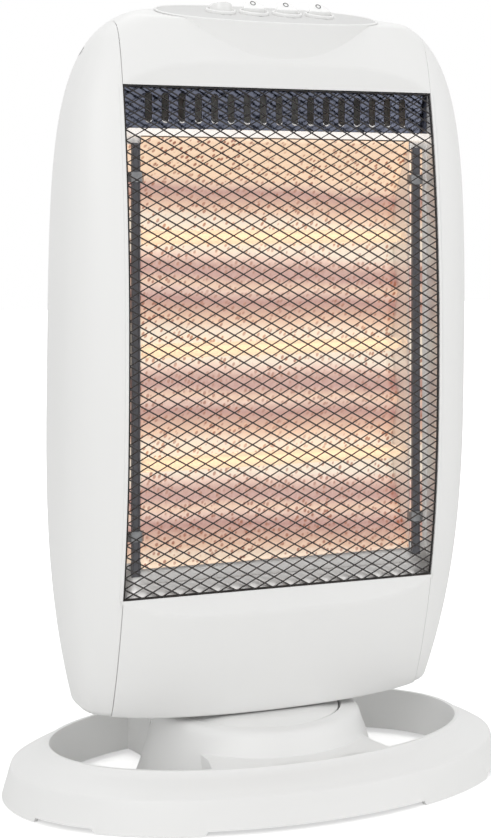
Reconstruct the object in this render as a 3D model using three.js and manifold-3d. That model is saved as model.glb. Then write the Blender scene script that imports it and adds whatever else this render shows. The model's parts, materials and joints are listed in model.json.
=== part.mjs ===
// Halogen tower heater: a head with three halogen tubes in front of a lobed, hammered reflector,
// behind a diamond net, on an oval stand on which the head swings from side to side.
// Millimetres. X to the right seen from the front, -Y forward, +Z up, origin on the floor
// under the swing axis.

import * as THREE from 'three';
import Module from 'manifold-3d';
import { mergeVertices } from 'three/addons/utils/BufferGeometryUtils.js';

const wasm = await Module();
wasm.setup();

// ---------------------------------------------------------------- driving dimensions

// Stand: an oval ring, a hub in its middle, and a web in front and behind that joins them
const STAND_HALF_LENGTH = 185;
const STAND_HALF_DEPTH = 118;
const STAND_OVAL_POWER = 2.06;
const RING_CREASE_HEIGHT = 24.6;
const RING_CREASE_INSET = 6;
const RING_TOP_HEIGHT = 34;
const RING_END_WIDTH = 33;
const RING_SIDE_WIDTH = 30;
const STAND_WALL = 3;
const FOOT_HEIGHT = 3;
const FOOT_END_HALF_DEPTH = 40;
const FOOT_INNER_X = 78;
const FOOT_OUTER_X = 146;
const WEB_HALF_WIDTH = 61.5;
const WEB_FLARE = 12.5;
const HUB_FLOOR_RADIUS = 88;
const HUB_RING_RADIUS = 77.5;
const HUB_RIM_RADIUS = 68;
const HUB_HEIGHT = 50;
const HUB_EDGE_ROUND = 5;
const HUB_RIB_COUNT = 8;
const HUB_PLATE_HEIGHT = 12;
const HUB_PLATE_THICKNESS = 4;
const BEARING_HEIGHT = 15;
const BEARING_WALL = 4.5;

// Turntable: the disc in the hub that carries the head, with its hollow pivot neck
const DISC_RADIUS = 58;
const DISC_THICKNESS = 2.4;
const DISC_DOME = 1.4;
const DISC_RECESS = 4.6;
const DISC_GAP = 1.2;
const WASHER_WIDTH = 5.6;
const WASHER_THICKNESS = 1;
const NECK_RADIUS = 7.5;
const NECK_BORE_RADIUS = 5;
const NECK_CLEARANCE = 0.4;
const COLLAR_RADIUS = 42;
const COLLAR_WALL = 4;
const COLLAR_FRONT = 22;
const RETAINER_RADIUS = 20;
const RETAINER_THICKNESS = 3;
const HUB_COVER_THICKNESS = 2.5;

// Swing drive: motor on the head floor, crank pin in a slotted fork that stands in the hub
const MOTOR_OFFSET = 27;
const MOTOR_RADIUS = 23;
const MOTOR_HEIGHT = 14;
const SHAFT_RADIUS = 3;
const SHAFT_HOLE_CLEARANCE = 1.5;
const CRANK_THROW = 15.6;
const CRANK_THICKNESS = 3;
const CRANK_HALF_WIDTH = 4.2;
const CRANK_HUB_RADIUS = 6;
const PIN_RADIUS = 2.4;
const PIN_SLOT_CLEARANCE = 1.3;
const PIN_PROUD = 1;
const PIN_INWARD_TRAVEL = 0.3;
const CRANK_GAP = 1.4;
const FORK_HALF_WIDTH = 8.5;
const FORK_PLATE_THICKNESS = 3.5;
const FORK_FOOT_LENGTH = 18;
const SLOT_END_CLEARANCE = 1;

// Head: upright rounded case, widest between waist and shoulders
const HEAD_FLOOR_HEIGHT = 57;
const HEAD_TOP_HEIGHT = 546.5;
const HEAD_WALL = 2.5;
const HEAD_BOTTOM_ROUND = 5;
const OPENING_HALF_WIDTH = 116;
const SHELL_WIDTH = 36;
const HEAD_HALF_WIDTH = OPENING_HALF_WIDTH + SHELL_WIDTH;
const HEAD_FOOT_TAPER = 21;
const HEAD_WAIST_HEIGHT = 280;
const HEAD_CREST_CUT = 1.5;
const HEAD_APEX_HEIGHT = HEAD_TOP_HEIGHT + HEAD_CREST_CUT;
const FOOT_TAPER_POWER = 2.8;
const SHOULDER_POWER = 5.2;
const SHOULDER_ROOT = 5;
const FRONT_DEPTH = 66;
const FRONT_CREST_HEIGHT = 312;
const FRONT_FOOT_DROP = 37;
const FRONT_FOOT_POWER = 2.7;
const FRONT_TOP_DROP = 27;
const FRONT_PLAN_POWER = 4;
const REAR_DEPTH = 80;
const REAR_CREST_HEIGHT = 200;
const REAR_FOOT_DROP = 6;
const REAR_TOP_DROP = 62;
const REAR_TOP_POWER = 3.2;
const REAR_PLAN_POWER = 2.6;
const GIRTH_LINE_OFFSET = 3;
const GIRTH_LINE_HEIGHT = 250;
const GIRTH_LINE_LEAN = 0.05;
const REAR_SEAM_DEPTH = 20;
const SEAM = 0.4;
const FIT = 0.3;

// Front opening, its net, and the lens-shaped chamfers above and below it
const OPENING_BOTTOM = 142;
const OPENING_TOP_MARGIN = 58.5;
const OPENING_TOP = HEAD_TOP_HEIGHT - OPENING_TOP_MARGIN;
const TOP_CHAMFER_RISE = 17;
const BOTTOM_CHAMFER_DROP = 15;
const REVEAL_THICKNESS = 2;
const NET_COLUMNS = 5;
const NET_ROWS = 13;
const NET_STRAND_WIDTH = 2.2;
const NET_THICKNESS = 1.2;
const NET_INSET = 0.8;
const NET_RIM_WIDTH = 4;
const NET_RIM_THICKNESS = 2.2;

// Control pod on top, sloping to the front, with an oval plate and four round rockers
const POD_HALF_LENGTH = 84;
const POD_HALF_DEPTH = 36;
const POD_OVAL_POWER = 2.3;
const POD_CENTRE_DEPTH = 19;
const POD_CENTRE_DROP = 4;
const POD_CENTRE_HEIGHT = HEAD_TOP_HEIGHT - POD_CENTRE_DROP;
const POD_SLOPE = 15.5;
const POD_SKIRT_HEIGHT = 42;
const POD_SKIRT_DRAFT = 10;
const POD_SKIRT_END_DRAFT = 26;
const POD_RIM_WIDTH = 2.2;
const PLATE_THICKNESS = 2.4;
const PLATE_RECESS = 0.3;
const PLATE_LEDGE = 3.5;
const SWITCH_COUNT = 4;
const SWITCH_PITCH = 25.4;
const FIRST_SWITCH_X = -34.4;
const SWITCH_ROW_OFFSET = 4;
const BEZEL_RADIUS = 10.8;
const BEZEL_HEIGHT = 2;
const SWITCH_BODY_RADIUS = 9.8;
const SWITCH_BODY_DEPTH = 14;
const ROCKER_WELL_RADIUS = 9.2;
const ROCKER_WELL_DEPTH = 8.4;
const ROCKER_RADIUS = 8;
const ROCKER_STEM_RADIUS = 6.2;
const ROCKER_STEM_DEPTH = 6;
const ROCKER_CENTRE_HEIGHT = 2.6;
const ROCKER_FACE_ANGLE = 10.7;
const ROCKER_TILT = 12;
const ROCKER_PIVOT_HEIGHT = 0.5;
const ROCKER_PIVOT_RADIUS = 1.2;

// Reflector, tubes and their mounts
const FRAME_PLANE_DEPTH = 40;
const SHEET = 1;
const REFLECTOR_SIDE_MARGIN = 14.5;
const REFLECTOR_BOTTOM_MARGIN = 19;
const REFLECTOR_TOP_MARGIN = 35;
const REFLECTOR_HALF_WIDTH = OPENING_HALF_WIDTH - REFLECTOR_SIDE_MARGIN;
const REFLECTOR_BOTTOM = OPENING_BOTTOM + REFLECTOR_BOTTOM_MARGIN;
const REFLECTOR_TOP = OPENING_TOP - REFLECTOR_TOP_MARGIN;
const FLANGE_BOTTOM_MARGIN = 5;
const FLANGE_TOP_MARGIN = 29;
const FLANGE_BOTTOM = OPENING_BOTTOM + FLANGE_BOTTOM_MARGIN;
const FLANGE_TOP = OPENING_TOP - FLANGE_TOP_MARGIN;
const TUBE_COUNT = 3;
const REFLECTOR_END_SLOPE = 29;
const TUBE_PITCH = (REFLECTOR_TOP - REFLECTOR_BOTTOM - 2 * REFLECTOR_END_SLOPE) / TUBE_COUNT;
const MIDDLE_TUBE_HEIGHT = (REFLECTOR_TOP + REFLECTOR_BOTTOM) / 2;
const TUBE_DEPTH = 25;
const TUBE_RADIUS = 5;
const TUBE_END_MARGIN = 3.5;
const TUBE_HALF_LENGTH = REFLECTOR_HALF_WIDTH - TUBE_END_MARGIN;
const TUBE_SEAL_RADIUS = 3;
const TUBE_SEAL_LENGTH = 8;
const TUBE_HOLE_RADIUS = 7.5;
const LOBE_FLOOR_DEPTH = 12;
const LOBE_HEIGHT = 10;
const CAP_RADIUS = 6.5;
const CAP_LENGTH = 17;
const CAP_SOCKET_DEPTH = 2;
const BRACKET_WIDTH = 20;
const BRACKET_END_LENGTH = 22;
const BRACKET_OFFSET = 9;
const STRIP_WIDTH = 6.6;
const STRIP_THICKNESS = 2.4;
const STRIP_END_GAP = 4;
const CLIP_LENGTH = 10;
const CLIP_PROUD = 1.4;
const CLIP_INSET = 22;
const LOUVRE_LAP = 8;
const LOUVRE_TOP = OPENING_TOP + LOUVRE_LAP;
const LOUVRE_PITCH = 12;
const LOUVRE_SLOT_WIDTH = 5;
const LOUVRE_SLOT_HEIGHT = 20;
const SHELF_DEPTH = 3.4;
const SHELF_HEIGHT = 5;
const SHIELD_SIDE_MARGIN = 4;
const SHIELD_HALF_WIDTH = OPENING_HALF_WIDTH - SHIELD_SIDE_MARGIN;
const SHIELD_DEPTH = 5;
const SHIELD_SETBACK = 3;

// Rear cover and small parts
const VENT_COLUMNS = 2;
const VENT_COLUMN_PITCH = 88;
const VENT_LENGTH = 74;
const VENT_WIDTH = 5;
const VENT_ROW_PITCH = 12;
const VENT_ROWS = 4;
const UPPER_VENT_DROP = 166.5;
const UPPER_VENT_BOTTOM = HEAD_TOP_HEIGHT - UPPER_VENT_DROP;
const LOWER_VENT_RISE = 63;
const LOWER_VENT_BOTTOM = HEAD_FLOOR_HEIGHT + LOWER_VENT_RISE;
const GRIP_LENGTH = 92;
const GRIP_HEIGHT = 24;
const GRIP_DEPTH = 18;
const GRIP_DROP = 68.5;
const GRIP_CENTRE_HEIGHT = HEAD_TOP_HEIGHT - GRIP_DROP;
const GLAND_RISE = 27;
const GLAND_HEIGHT = HEAD_FLOOR_HEIGHT + GLAND_RISE;
const GLAND_RADIUS = 6;
const GLAND_BORE_RADIUS = 3.6;
const GLAND_FLANGE_RADIUS = 8.5;
const GLAND_LENGTH = 16;
const SCREW_HEAD_RADIUS = 3.4;
const SCREW_HEAD_HEIGHT = 2;
const SCREW_SHANK_RADIUS = 1.6;
const SCREW_BOSS_WALL = 2.4;
const SHOULDER_SCREW_DROP = 33.5;
const SHOULDER_SCREW_HEIGHT = HEAD_TOP_HEIGHT - SHOULDER_SCREW_DROP;
const SHOULDER_SCREW_OFFSET = 5;
const SHOULDER_SCREW_ELEVATION = 35;
const REAR_SCREW_MARGIN = 10;
const REAR_SCREW_X = OPENING_HALF_WIDTH + REAR_SCREW_MARGIN;
const REAR_SCREW_RISE = 53;
const REAR_SCREW_DROP = 116.5;
const REAR_SCREW_HEIGHTS = [HEAD_FLOOR_HEIGHT + REAR_SCREW_RISE, HEAD_TOP_HEIGHT - REAR_SCREW_DROP];
const REAR_SCREW_RECESS = 14;
const CUTOUT_RADIUS = 7.5;
const CUTOUT_HEIGHT = 8;
const CUTOUT_X = 30;
const CUTOUT_RISE = 30;
const CUTOUT_EAR_REACH = 13;
const CUTOUT_TAG_OFFSET = 3.5;
const TILT_SWITCH_SIZE = [26, 16, 22];
const TERMINAL_SIZE = [34, 14, 12];
const TERMINAL_POLES = 3;
const FLOOR_PLATE_THICKNESS = 3;
const CABLE_HOLE_RADIUS = 9;

// Facets
const HEAD_FACETS = 28;
const HEAD_LEVELS = 7;
const STAND_FACETS = 36;
const ROUND_FACETS = 24;
const SMALL_FACETS = 12;
const SWITCH_FACETS = 16;
const TUBE_FACETS = 10;
const SCREW_FACETS = 6;

// ---------------------------------------------------------------- solids

/** A closed geometry as a solid, with its faces turned outwards. */
function solid(geometry) {
  const bare = geometry.index ? geometry.toNonIndexed() : geometry.clone();
  bare.deleteAttribute('normal');
  bare.deleteAttribute('uv');
  const merged = mergeVertices(bare, 1e-4);
  const points = Float32Array.from(merged.attributes.position.array);
  const faces = Uint32Array.from(merged.index.array);
  const kept = [];
  for (let i = 0; i < faces.length; i += 3) {
    const [a, b, c] = [faces[i], faces[i + 1], faces[i + 2]];
    if (a !== b && b !== c && c !== a) kept.push(a, b, c);
  }
  if (volumeOf(points, kept) < 0) {
    for (let i = 0; i < kept.length; i += 3) [kept[i], kept[i + 1]] = [kept[i + 1], kept[i]];
  }
  const mesh = new wasm.Mesh({
    numProp: 3,
    vertProperties: points,
    triVerts: Uint32Array.from(kept),
  });
  return new wasm.Manifold(mesh);
}

function volumeOf(points, faces) {
  const corner = (k) => new THREE.Vector3().fromArray(points, 3 * k);
  let sixfold = 0;
  for (let i = 0; i < faces.length; i += 3) {
    sixfold += corner(faces[i]).dot(corner(faces[i + 1]).cross(corner(faces[i + 2])));
  }
  return sixfold;
}

function geometryOf(body) {
  const mesh = body.getMesh();
  const geometry = new THREE.BufferGeometry();
  geometry.setAttribute('position', new THREE.BufferAttribute(mesh.vertProperties, 3));
  geometry.setIndex(new THREE.BufferAttribute(mesh.triVerts, 1));
  geometry.computeVertexNormals();
  return geometry;
}

function union(...bodies) {
  return bodies.reduce((sum, body) => sum.add(body));
}

/** A box between two corners. */
function box(low, high) {
  const size = high.map((value, i) => value - low[i]);
  const centre = high.map((value, i) => (value + low[i]) / 2);
  return solid(new THREE.BoxGeometry(...size).translate(...centre));
}

/** A cylinder from one height to another about a vertical axis at (x, y). */
function post(radius, low, high, x = 0, y = 0, facets = SMALL_FACETS) {
  const shape = new THREE.CylinderGeometry(radius, radius, high - low, facets);
  return solid(shape.rotateX(Math.PI / 2).translate(x, y, (low + high) / 2));
}

/** A solid of revolution about the Z axis from [radius, z] points. */
function turned(points, facets = ROUND_FACETS) {
  const profile = [...points, points[0]].map(([r, z]) => new THREE.Vector2(r, z));
  return solid(new THREE.LatheGeometry(profile, facets).rotateX(Math.PI / 2));
}

/** An outline of [across, up] points in the plane of `axis`, pushed from one value to another. */
function pushed(points, axis, low, high) {
  const shape = new THREE.Shape(points.map(([a, b]) => new THREE.Vector2(a, b)));
  const flat = new THREE.ExtrudeGeometry(shape, { depth: high - low, bevelEnabled: false });
  flat.translate(0, 0, low);
  const turn = {
    x: new THREE.Matrix4().set(0, 0, 1, 0, 1, 0, 0, 0, 0, 1, 0, 0, 0, 0, 0, 1),
    y: new THREE.Matrix4().set(1, 0, 0, 0, 0, 0, 1, 0, 0, 1, 0, 0, 0, 0, 0, 1),
    z: new THREE.Matrix4(),
  };
  return solid(flat.applyMatrix4(turn[axis]));
}

/** A closed skin over rings of equally many points, with a flat fan on each end. */
function loft(rings) {
  const count = rings[0].length;
  const points = rings.flat();
  const faces = [];
  for (let r = 0; r + 1 < rings.length; r += 1) {
    for (let k = 0; k < count; k += 1) {
      const next = (k + 1) % count;
      const [a, b] = [r * count + k, r * count + next];
      faces.push(a, b, b + count, a, b + count, a + count);
    }
  }
  const ends = [rings[0], rings[rings.length - 1]];
  ends.forEach((ring, end) => {
    const centre = ring.reduce((sum, p) => sum.add(p), new THREE.Vector3()).divideScalar(count);
    const start = end === 0 ? 0 : (rings.length - 1) * count;
    points.push(centre);
    const hub = points.length - 1;
    for (let k = 0; k < count; k += 1) {
      const [a, b] = [start + k, start + ((k + 1) % count)];
      faces.push(...(end === 0 ? [hub, b, a] : [hub, a, b]));
    }
  });
  const geometry = new THREE.BufferGeometry();
  const flat = points.flatMap((p) => p.toArray());
  geometry.setAttribute('position', new THREE.Float32BufferAttribute(flat, 3));
  geometry.setIndex(faces);
  return solid(geometry);
}

/** Points of a level superellipse with the given half axes. */
function ovalRing(halfX, halfY, power, z, count, centreY = 0) {
  return Array.from({ length: count }, (unused, k) => {
    const angle = (2 * Math.PI * k) / count;
    const [c, s] = [Math.cos(angle), Math.sin(angle)];
    const x = halfX * Math.sign(c) * Math.abs(c) ** (2 / power);
    const y = centreY + halfY * Math.sign(s) * Math.abs(s) ** (2 / power);
    return new THREE.Vector3(x, y, z);
  });
}

/** A slot outline with pointed-round ends, `length` overall along the first axis. */
function slotOutline(cx, cy, length, width) {
  const [a, b] = [length / 2, width / 2];
  return [
    [cx - a + b, cy - b],
    [cx + a - b, cy - b],
    [cx + a, cy],
    [cx + a - b, cy + b],
    [cx - a + b, cy + b],
    [cx - a, cy],
  ];
}

// ---------------------------------------------------------------- materials

function finish(color, roughness, metalness = 0) {
  return new THREE.MeshStandardMaterial({ color, roughness, metalness });
}

const WHITE_PLASTIC = finish(0xf0f0f0, 0.45);
const WHITE_ENAMEL = finish(0xececea, 0.4);
const NET_METAL = finish(0x2a2624, 0.4, 0.8);
const REFLECTOR_METAL = finish(0xe8d3c4, 0.2, 1);
const SHEET_STEEL = finish(0x9c9c9e, 0.4, 1);
const DARK_CHROME = finish(0x3c3d44, 0.25, 1);
const QUARTZ = finish(0xffe6c0, 0.1);
const CERAMIC = finish(0xe4ded2, 0.7);
const GREY_PLASTIC = finish(0x8b8d8f, 0.6);
const BLACK_PLASTIC = finish(0x222224, 0.5);
const SCREW_STEEL = finish(0xb5b5b8, 0.35, 1);

const heater = new THREE.Group();

function place(name, body, material, parent = heater) {
  const mesh = new THREE.Mesh(geometryOf(body), material);
  mesh.name = name;
  parent.add(mesh);
  return mesh;
}

// ---------------------------------------------------------------- shared heights in the hub

const LEDGE_HEIGHT = HUB_HEIGHT - DISC_RECESS;
const WASHER_BOTTOM = LEDGE_HEIGHT + FIT;
const DISC_BOTTOM = WASHER_BOTTOM + WASHER_THICKNESS + FIT;
const DISC_TOP = DISC_BOTTOM + DISC_THICKNESS;
const RECESS_RADIUS = DISC_RADIUS + DISC_GAP;
const CAVITY_RADIUS = RECESS_RADIUS - WASHER_WIDTH - DISC_GAP;
const FACET_APOTHEM = Math.cos(Math.PI / ROUND_FACETS);
const HUB_PLATE_TOP = HUB_PLATE_HEIGHT + HUB_PLATE_THICKNESS;
const BEARING_TOP = HUB_PLATE_TOP + BEARING_HEIGHT;
const NECK_BOTTOM = HUB_PLATE_HEIGHT - FIT;
const CRANK_TOP = DISC_BOTTOM - CRANK_GAP;
const CRANK_BOTTOM = CRANK_TOP - CRANK_THICKNESS;
const FORK_TOP = CRANK_BOTTOM - CRANK_GAP;
const FORK_BOTTOM = FORK_TOP - FORK_PLATE_THICKNESS;
const PIN_BOTTOM = FORK_BOTTOM - PIN_PROUD;

// ---------------------------------------------------------------- stand

/** Inside of the oval ring, where the stand is open apart from hub and webs. */
function ringInside(low, high) {
  const halfX = STAND_HALF_LENGTH - RING_END_WIDTH;
  const halfY = STAND_HALF_DEPTH - RING_SIDE_WIDTH;
  const rings = [low, high].map((z) => ovalRing(halfX, halfY, STAND_OVAL_POWER, z, STAND_FACETS));
  return loft(rings);
}

function hubBody() {
  const edge = HUB_EDGE_ROUND;
  return turned([
    [0, 0],
    [HUB_FLOOR_RADIUS, 0],
    [HUB_RING_RADIUS, RING_TOP_HEIGHT],
    [HUB_RIM_RADIUS + edge * 1.1, HUB_HEIGHT - edge],
    [HUB_RIM_RADIUS + edge * 0.7, HUB_HEIGHT - edge * 0.3],
    [HUB_RIM_RADIUS, HUB_HEIGHT],
    [0, HUB_HEIGHT],
  ], STAND_FACETS);
}

/** The webs as seen from above: narrow at the hub, a little wider at the ring. */
function webBlock() {
  const near = WEB_HALF_WIDTH;
  const far = WEB_HALF_WIDTH + WEB_FLARE;
  const middle = HUB_FLOOR_RADIUS * 0.7;
  const end = STAND_HALF_DEPTH;
  const outline = [
    [-near, middle], [-far, end], [far, end], [near, middle],
    [near, -middle], [far, -end], [-far, -end], [-near, -middle],
  ];
  return pushed(outline, 'z', -1, HUB_HEIGHT + 1);
}

/** The hollow under the ring, one wall thick all round, open to the floor. */
function ringHollow() {
  const wall = STAND_WALL;
  const crease = RING_CREASE_INSET + wall;
  const outer = loft([
    ovalRing(STAND_HALF_LENGTH - wall, STAND_HALF_DEPTH - wall, STAND_OVAL_POWER, -1, STAND_FACETS),
    ovalRing(STAND_HALF_LENGTH - crease, STAND_HALF_DEPTH - crease, STAND_OVAL_POWER,
      RING_CREASE_HEIGHT - wall, STAND_FACETS),
  ]);
  const halfX = STAND_HALF_LENGTH - RING_END_WIDTH + wall;
  const halfY = STAND_HALF_DEPTH - RING_SIDE_WIDTH + wall;
  const core = loft([-2, RING_TOP_HEIGHT].map((z) => (
    ovalRing(halfX, halfY, STAND_OVAL_POWER, z, STAND_FACETS))));
  return outer.subtract(core);
}

/** Pockets under the hub between radial ribs. */
function hubPockets() {
  const inner = CAVITY_RADIUS + STAND_WALL;
  const ring = turned([
    [inner, -1],
    [HUB_FLOOR_RADIUS - STAND_WALL * 2, -1],
    [HUB_RING_RADIUS - STAND_WALL, RING_TOP_HEIGHT - STAND_WALL],
    [inner, RING_TOP_HEIGHT - STAND_WALL],
  ], ROUND_FACETS);
  const half = STAND_WALL / 2;
  let pockets = ring;
  for (let i = 0; i < HUB_RIB_COUNT / 2; i += 1) {
    const rib = new THREE.BoxGeometry(2 * HUB_FLOOR_RADIUS, 2 * half, 2 * HUB_HEIGHT);
    const angle = (2 * Math.PI * (i + 0.5)) / HUB_RIB_COUNT;
    pockets = pockets.subtract(solid(rib.rotateZ(angle)));
  }
  return pockets;
}

/** Shallow gaps between the six feet, cut into the lower edge of the ring. */
function footGaps() {
  const reach = STAND_HALF_LENGTH + 5;
  const depth = STAND_HALF_DEPTH + 5;
  const ends = STAND_HALF_LENGTH - RING_END_WIDTH;
  const middle = box([-FOOT_INNER_X, -depth, -1], [FOOT_INNER_X, depth, FOOT_HEIGHT]);
  let gaps = middle;
  [-1, 1].forEach((side) => {
    [-1, 1].forEach((end) => {
      const xs = [FOOT_OUTER_X * side, reach * side].sort((a, b) => a - b);
      const ys = [FOOT_END_HALF_DEPTH * end, depth * end].sort((a, b) => a - b);
      gaps = gaps.add(box([xs[0], ys[0], -1], [xs[1], ys[1], FOOT_HEIGHT]));
    });
    const xs = [FOOT_INNER_X * side, ends * side].sort((a, b) => a - b);
    const inside = STAND_HALF_DEPTH * 0.55;
    gaps = gaps.add(box([xs[0], -inside, -1], [xs[1], inside, FOOT_HEIGHT]));
  });
  return gaps;
}

function stand() {
  const crease = RING_CREASE_INSET;
  const dome = loft([
    ovalRing(STAND_HALF_LENGTH, STAND_HALF_DEPTH, STAND_OVAL_POWER, 0, STAND_FACETS),
    ovalRing(STAND_HALF_LENGTH - crease, STAND_HALF_DEPTH - crease, STAND_OVAL_POWER,
      RING_CREASE_HEIGHT, STAND_FACETS),
    ovalRing(STAND_HALF_LENGTH - RING_END_WIDTH, STAND_HALF_DEPTH - RING_SIDE_WIDTH,
      STAND_OVAL_POWER, RING_TOP_HEIGHT, STAND_FACETS),
  ]);
  const hub = hubBody();
  const openings = ringInside(-2, HUB_HEIGHT).subtract(webBlock()).subtract(hub);
  const bore = NECK_RADIUS + NECK_CLEARANCE;
  const cavity = turned([
    [0, HUB_PLATE_TOP],
    [CAVITY_RADIUS, HUB_PLATE_TOP],
    [CAVITY_RADIUS, LEDGE_HEIGHT],
    [RECESS_RADIUS, LEDGE_HEIGHT],
    [RECESS_RADIUS, HUB_HEIGHT + 1],
    [0, HUB_HEIGHT + 1],
  ]);
  const underside = post(CAVITY_RADIUS, -1, HUB_PLATE_HEIGHT, 0, 0, ROUND_FACETS);
  const bearing = post(bore + BEARING_WALL, HUB_PLATE_HEIGHT + 1, BEARING_TOP, 0, 0, SMALL_FACETS);
  return dome.add(hub)
    .subtract(openings)
    .subtract(ringHollow())
    .subtract(hubPockets())
    .subtract(footGaps())
    .subtract(cavity)
    .subtract(underside)
    .add(bearing)
    .subtract(post(bore, 0, HUB_HEIGHT));
}

function hubCover() {
  const radius = CAVITY_RADIUS - FIT;
  const low = FOOT_HEIGHT + 0.5;
  const high = low + HUB_COVER_THICKNESS;
  const rim = HUB_PLATE_HEIGHT - FIT;
  return turned([
    [0, low], [radius, low], [radius, rim], [radius - 2, rim], [radius - 2, high], [0, high],
  ]);
}

function turntable() {
  const inner = COLLAR_RADIUS - COLLAR_WALL;
  const top = HEAD_FLOOR_HEIGHT - FIT;
  const shaftHole = SHAFT_RADIUS + SHAFT_HOLE_CLEARANCE;
  return turned([
    [NECK_BORE_RADIUS, NECK_BOTTOM],
    [NECK_RADIUS, NECK_BOTTOM],
    [NECK_RADIUS, DISC_BOTTOM],
    [DISC_RADIUS, DISC_BOTTOM],
    [DISC_RADIUS, DISC_TOP - 0.6],
    [DISC_RADIUS - 1.2, DISC_TOP],
    [COLLAR_RADIUS, DISC_TOP + DISC_DOME],
    [COLLAR_RADIUS, top],
    [inner, top],
    [inner, DISC_TOP],
    [NECK_BORE_RADIUS, DISC_TOP],
  ])
    .subtract(post(shaftHole, DISC_BOTTOM - 1, DISC_TOP + 2, 0, MOTOR_OFFSET))
    .subtract(box([-COLLAR_RADIUS, -DISC_RADIUS, DISC_TOP + DISC_DOME], [COLLAR_RADIUS, -COLLAR_FRONT, top + 1]));
}

function thrustWasher() {
  const outer = RECESS_RADIUS - DISC_GAP / 2;
  const inner = outer - WASHER_WIDTH;
  const [low, high] = [WASHER_BOTTOM, WASHER_BOTTOM + WASHER_THICKNESS];
  return turned([[inner, low], [outer, low], [outer, high], [inner, high]]);
}

function pivotRetainer() {
  const high = NECK_BOTTOM - FIT;
  const low = high - RETAINER_THICKNESS;
  const inner = NECK_BORE_RADIUS;
  return turned([[inner, low], [RETAINER_RADIUS, low], [RETAINER_RADIUS, high], [inner, high]],
    SMALL_FACETS);
}

// ---------------------------------------------------------------- swing drive

/** Reach of the crank pin from the swing axis: far out at rest, nearer at the ends of the swing. */
const PIN_FAR = MOTOR_OFFSET + CRANK_THROW;
const PIN_NEAR = MOTOR_OFFSET - CRANK_THROW * PIN_INWARD_TRAVEL;

function swingMotor() {
  const low = HEAD_FLOOR_HEIGHT + FLOOR_PLATE_THICKNESS + FIT;
  const can = post(MOTOR_RADIUS, low, low + MOTOR_HEIGHT, 0, MOTOR_OFFSET, ROUND_FACETS);
  const lid = post(MOTOR_RADIUS * 0.8, low, low + MOTOR_HEIGHT + 1.5, 0, MOTOR_OFFSET, ROUND_FACETS);
  const shaft = post(SHAFT_RADIUS, CRANK_BOTTOM + 1 + FIT, low + 1, 0, MOTOR_OFFSET);
  const reach = MOTOR_RADIUS + 8;
  const ears = box([-reach, MOTOR_OFFSET - 5, low], [reach, MOTOR_OFFSET + 5, low + 1.2]);
  return union(can, lid, shaft, ears);
}

function crank() {
  const half = CRANK_HALF_WIDTH;
  const arm = box([-half, MOTOR_OFFSET, CRANK_BOTTOM], [half, PIN_FAR, CRANK_TOP]);
  const tip = post(half, CRANK_BOTTOM, CRANK_TOP, 0, PIN_FAR);
  const hub = post(CRANK_HUB_RADIUS, CRANK_BOTTOM, DISC_BOTTOM - 0.5, 0, MOTOR_OFFSET);
  const bore = post(SHAFT_RADIUS + FIT, CRANK_BOTTOM + 1, DISC_BOTTOM, 0, MOTOR_OFFSET);
  const pin = post(PIN_RADIUS, PIN_BOTTOM, CRANK_BOTTOM + 1, 0, PIN_FAR, 16);
  return union(arm, tip, hub).subtract(bore).add(pin);
}

/** A bent bracket: foot on the hub plate, leg, and a top plate with the radial slot. */
function swingFork() {
  const half = FORK_HALF_WIDTH;
  const outer = Math.sqrt((CAVITY_RADIUS * FACET_APOTHEM - FIT) ** 2 - half ** 2);
  const slotHalf = PIN_RADIUS + PIN_SLOT_CLEARANCE;
  const slotEnd = PIN_FAR + slotHalf + SLOT_END_CLEARANCE;
  const slotStart = PIN_NEAR - slotHalf - SLOT_END_CLEARANCE;
  const inner = slotStart - 3;
  const foot = HUB_PLATE_TOP + FIT;
  const legInner = slotEnd + 0.6;
  const profile = [
    [outer, foot], [outer, FORK_TOP], [inner, FORK_TOP], [inner, FORK_BOTTOM],
    [legInner, FORK_BOTTOM], [legInner, foot + 3],
    [outer - FORK_FOOT_LENGTH, foot + 3], [outer - FORK_FOOT_LENGTH, foot],
  ];
  const bracket = pushed(profile, 'x', -half, half);
  const outline = [
    [-slotHalf, slotStart + slotHalf], [-slotHalf * 0.7, slotStart + slotHalf * 0.3], [0, slotStart],
    [slotHalf * 0.7, slotStart + slotHalf * 0.3], [slotHalf, slotStart + slotHalf],
    [slotHalf, slotEnd - slotHalf], [slotHalf * 0.7, slotEnd - slotHalf * 0.3], [0, slotEnd],
    [-slotHalf * 0.7, slotEnd - slotHalf * 0.3], [-slotHalf, slotEnd - slotHalf],
  ];
  return bracket.subtract(pushed(outline, 'z', FORK_BOTTOM - 1, FORK_TOP + 1));
}

// ---------------------------------------------------------------- form of the head

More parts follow.
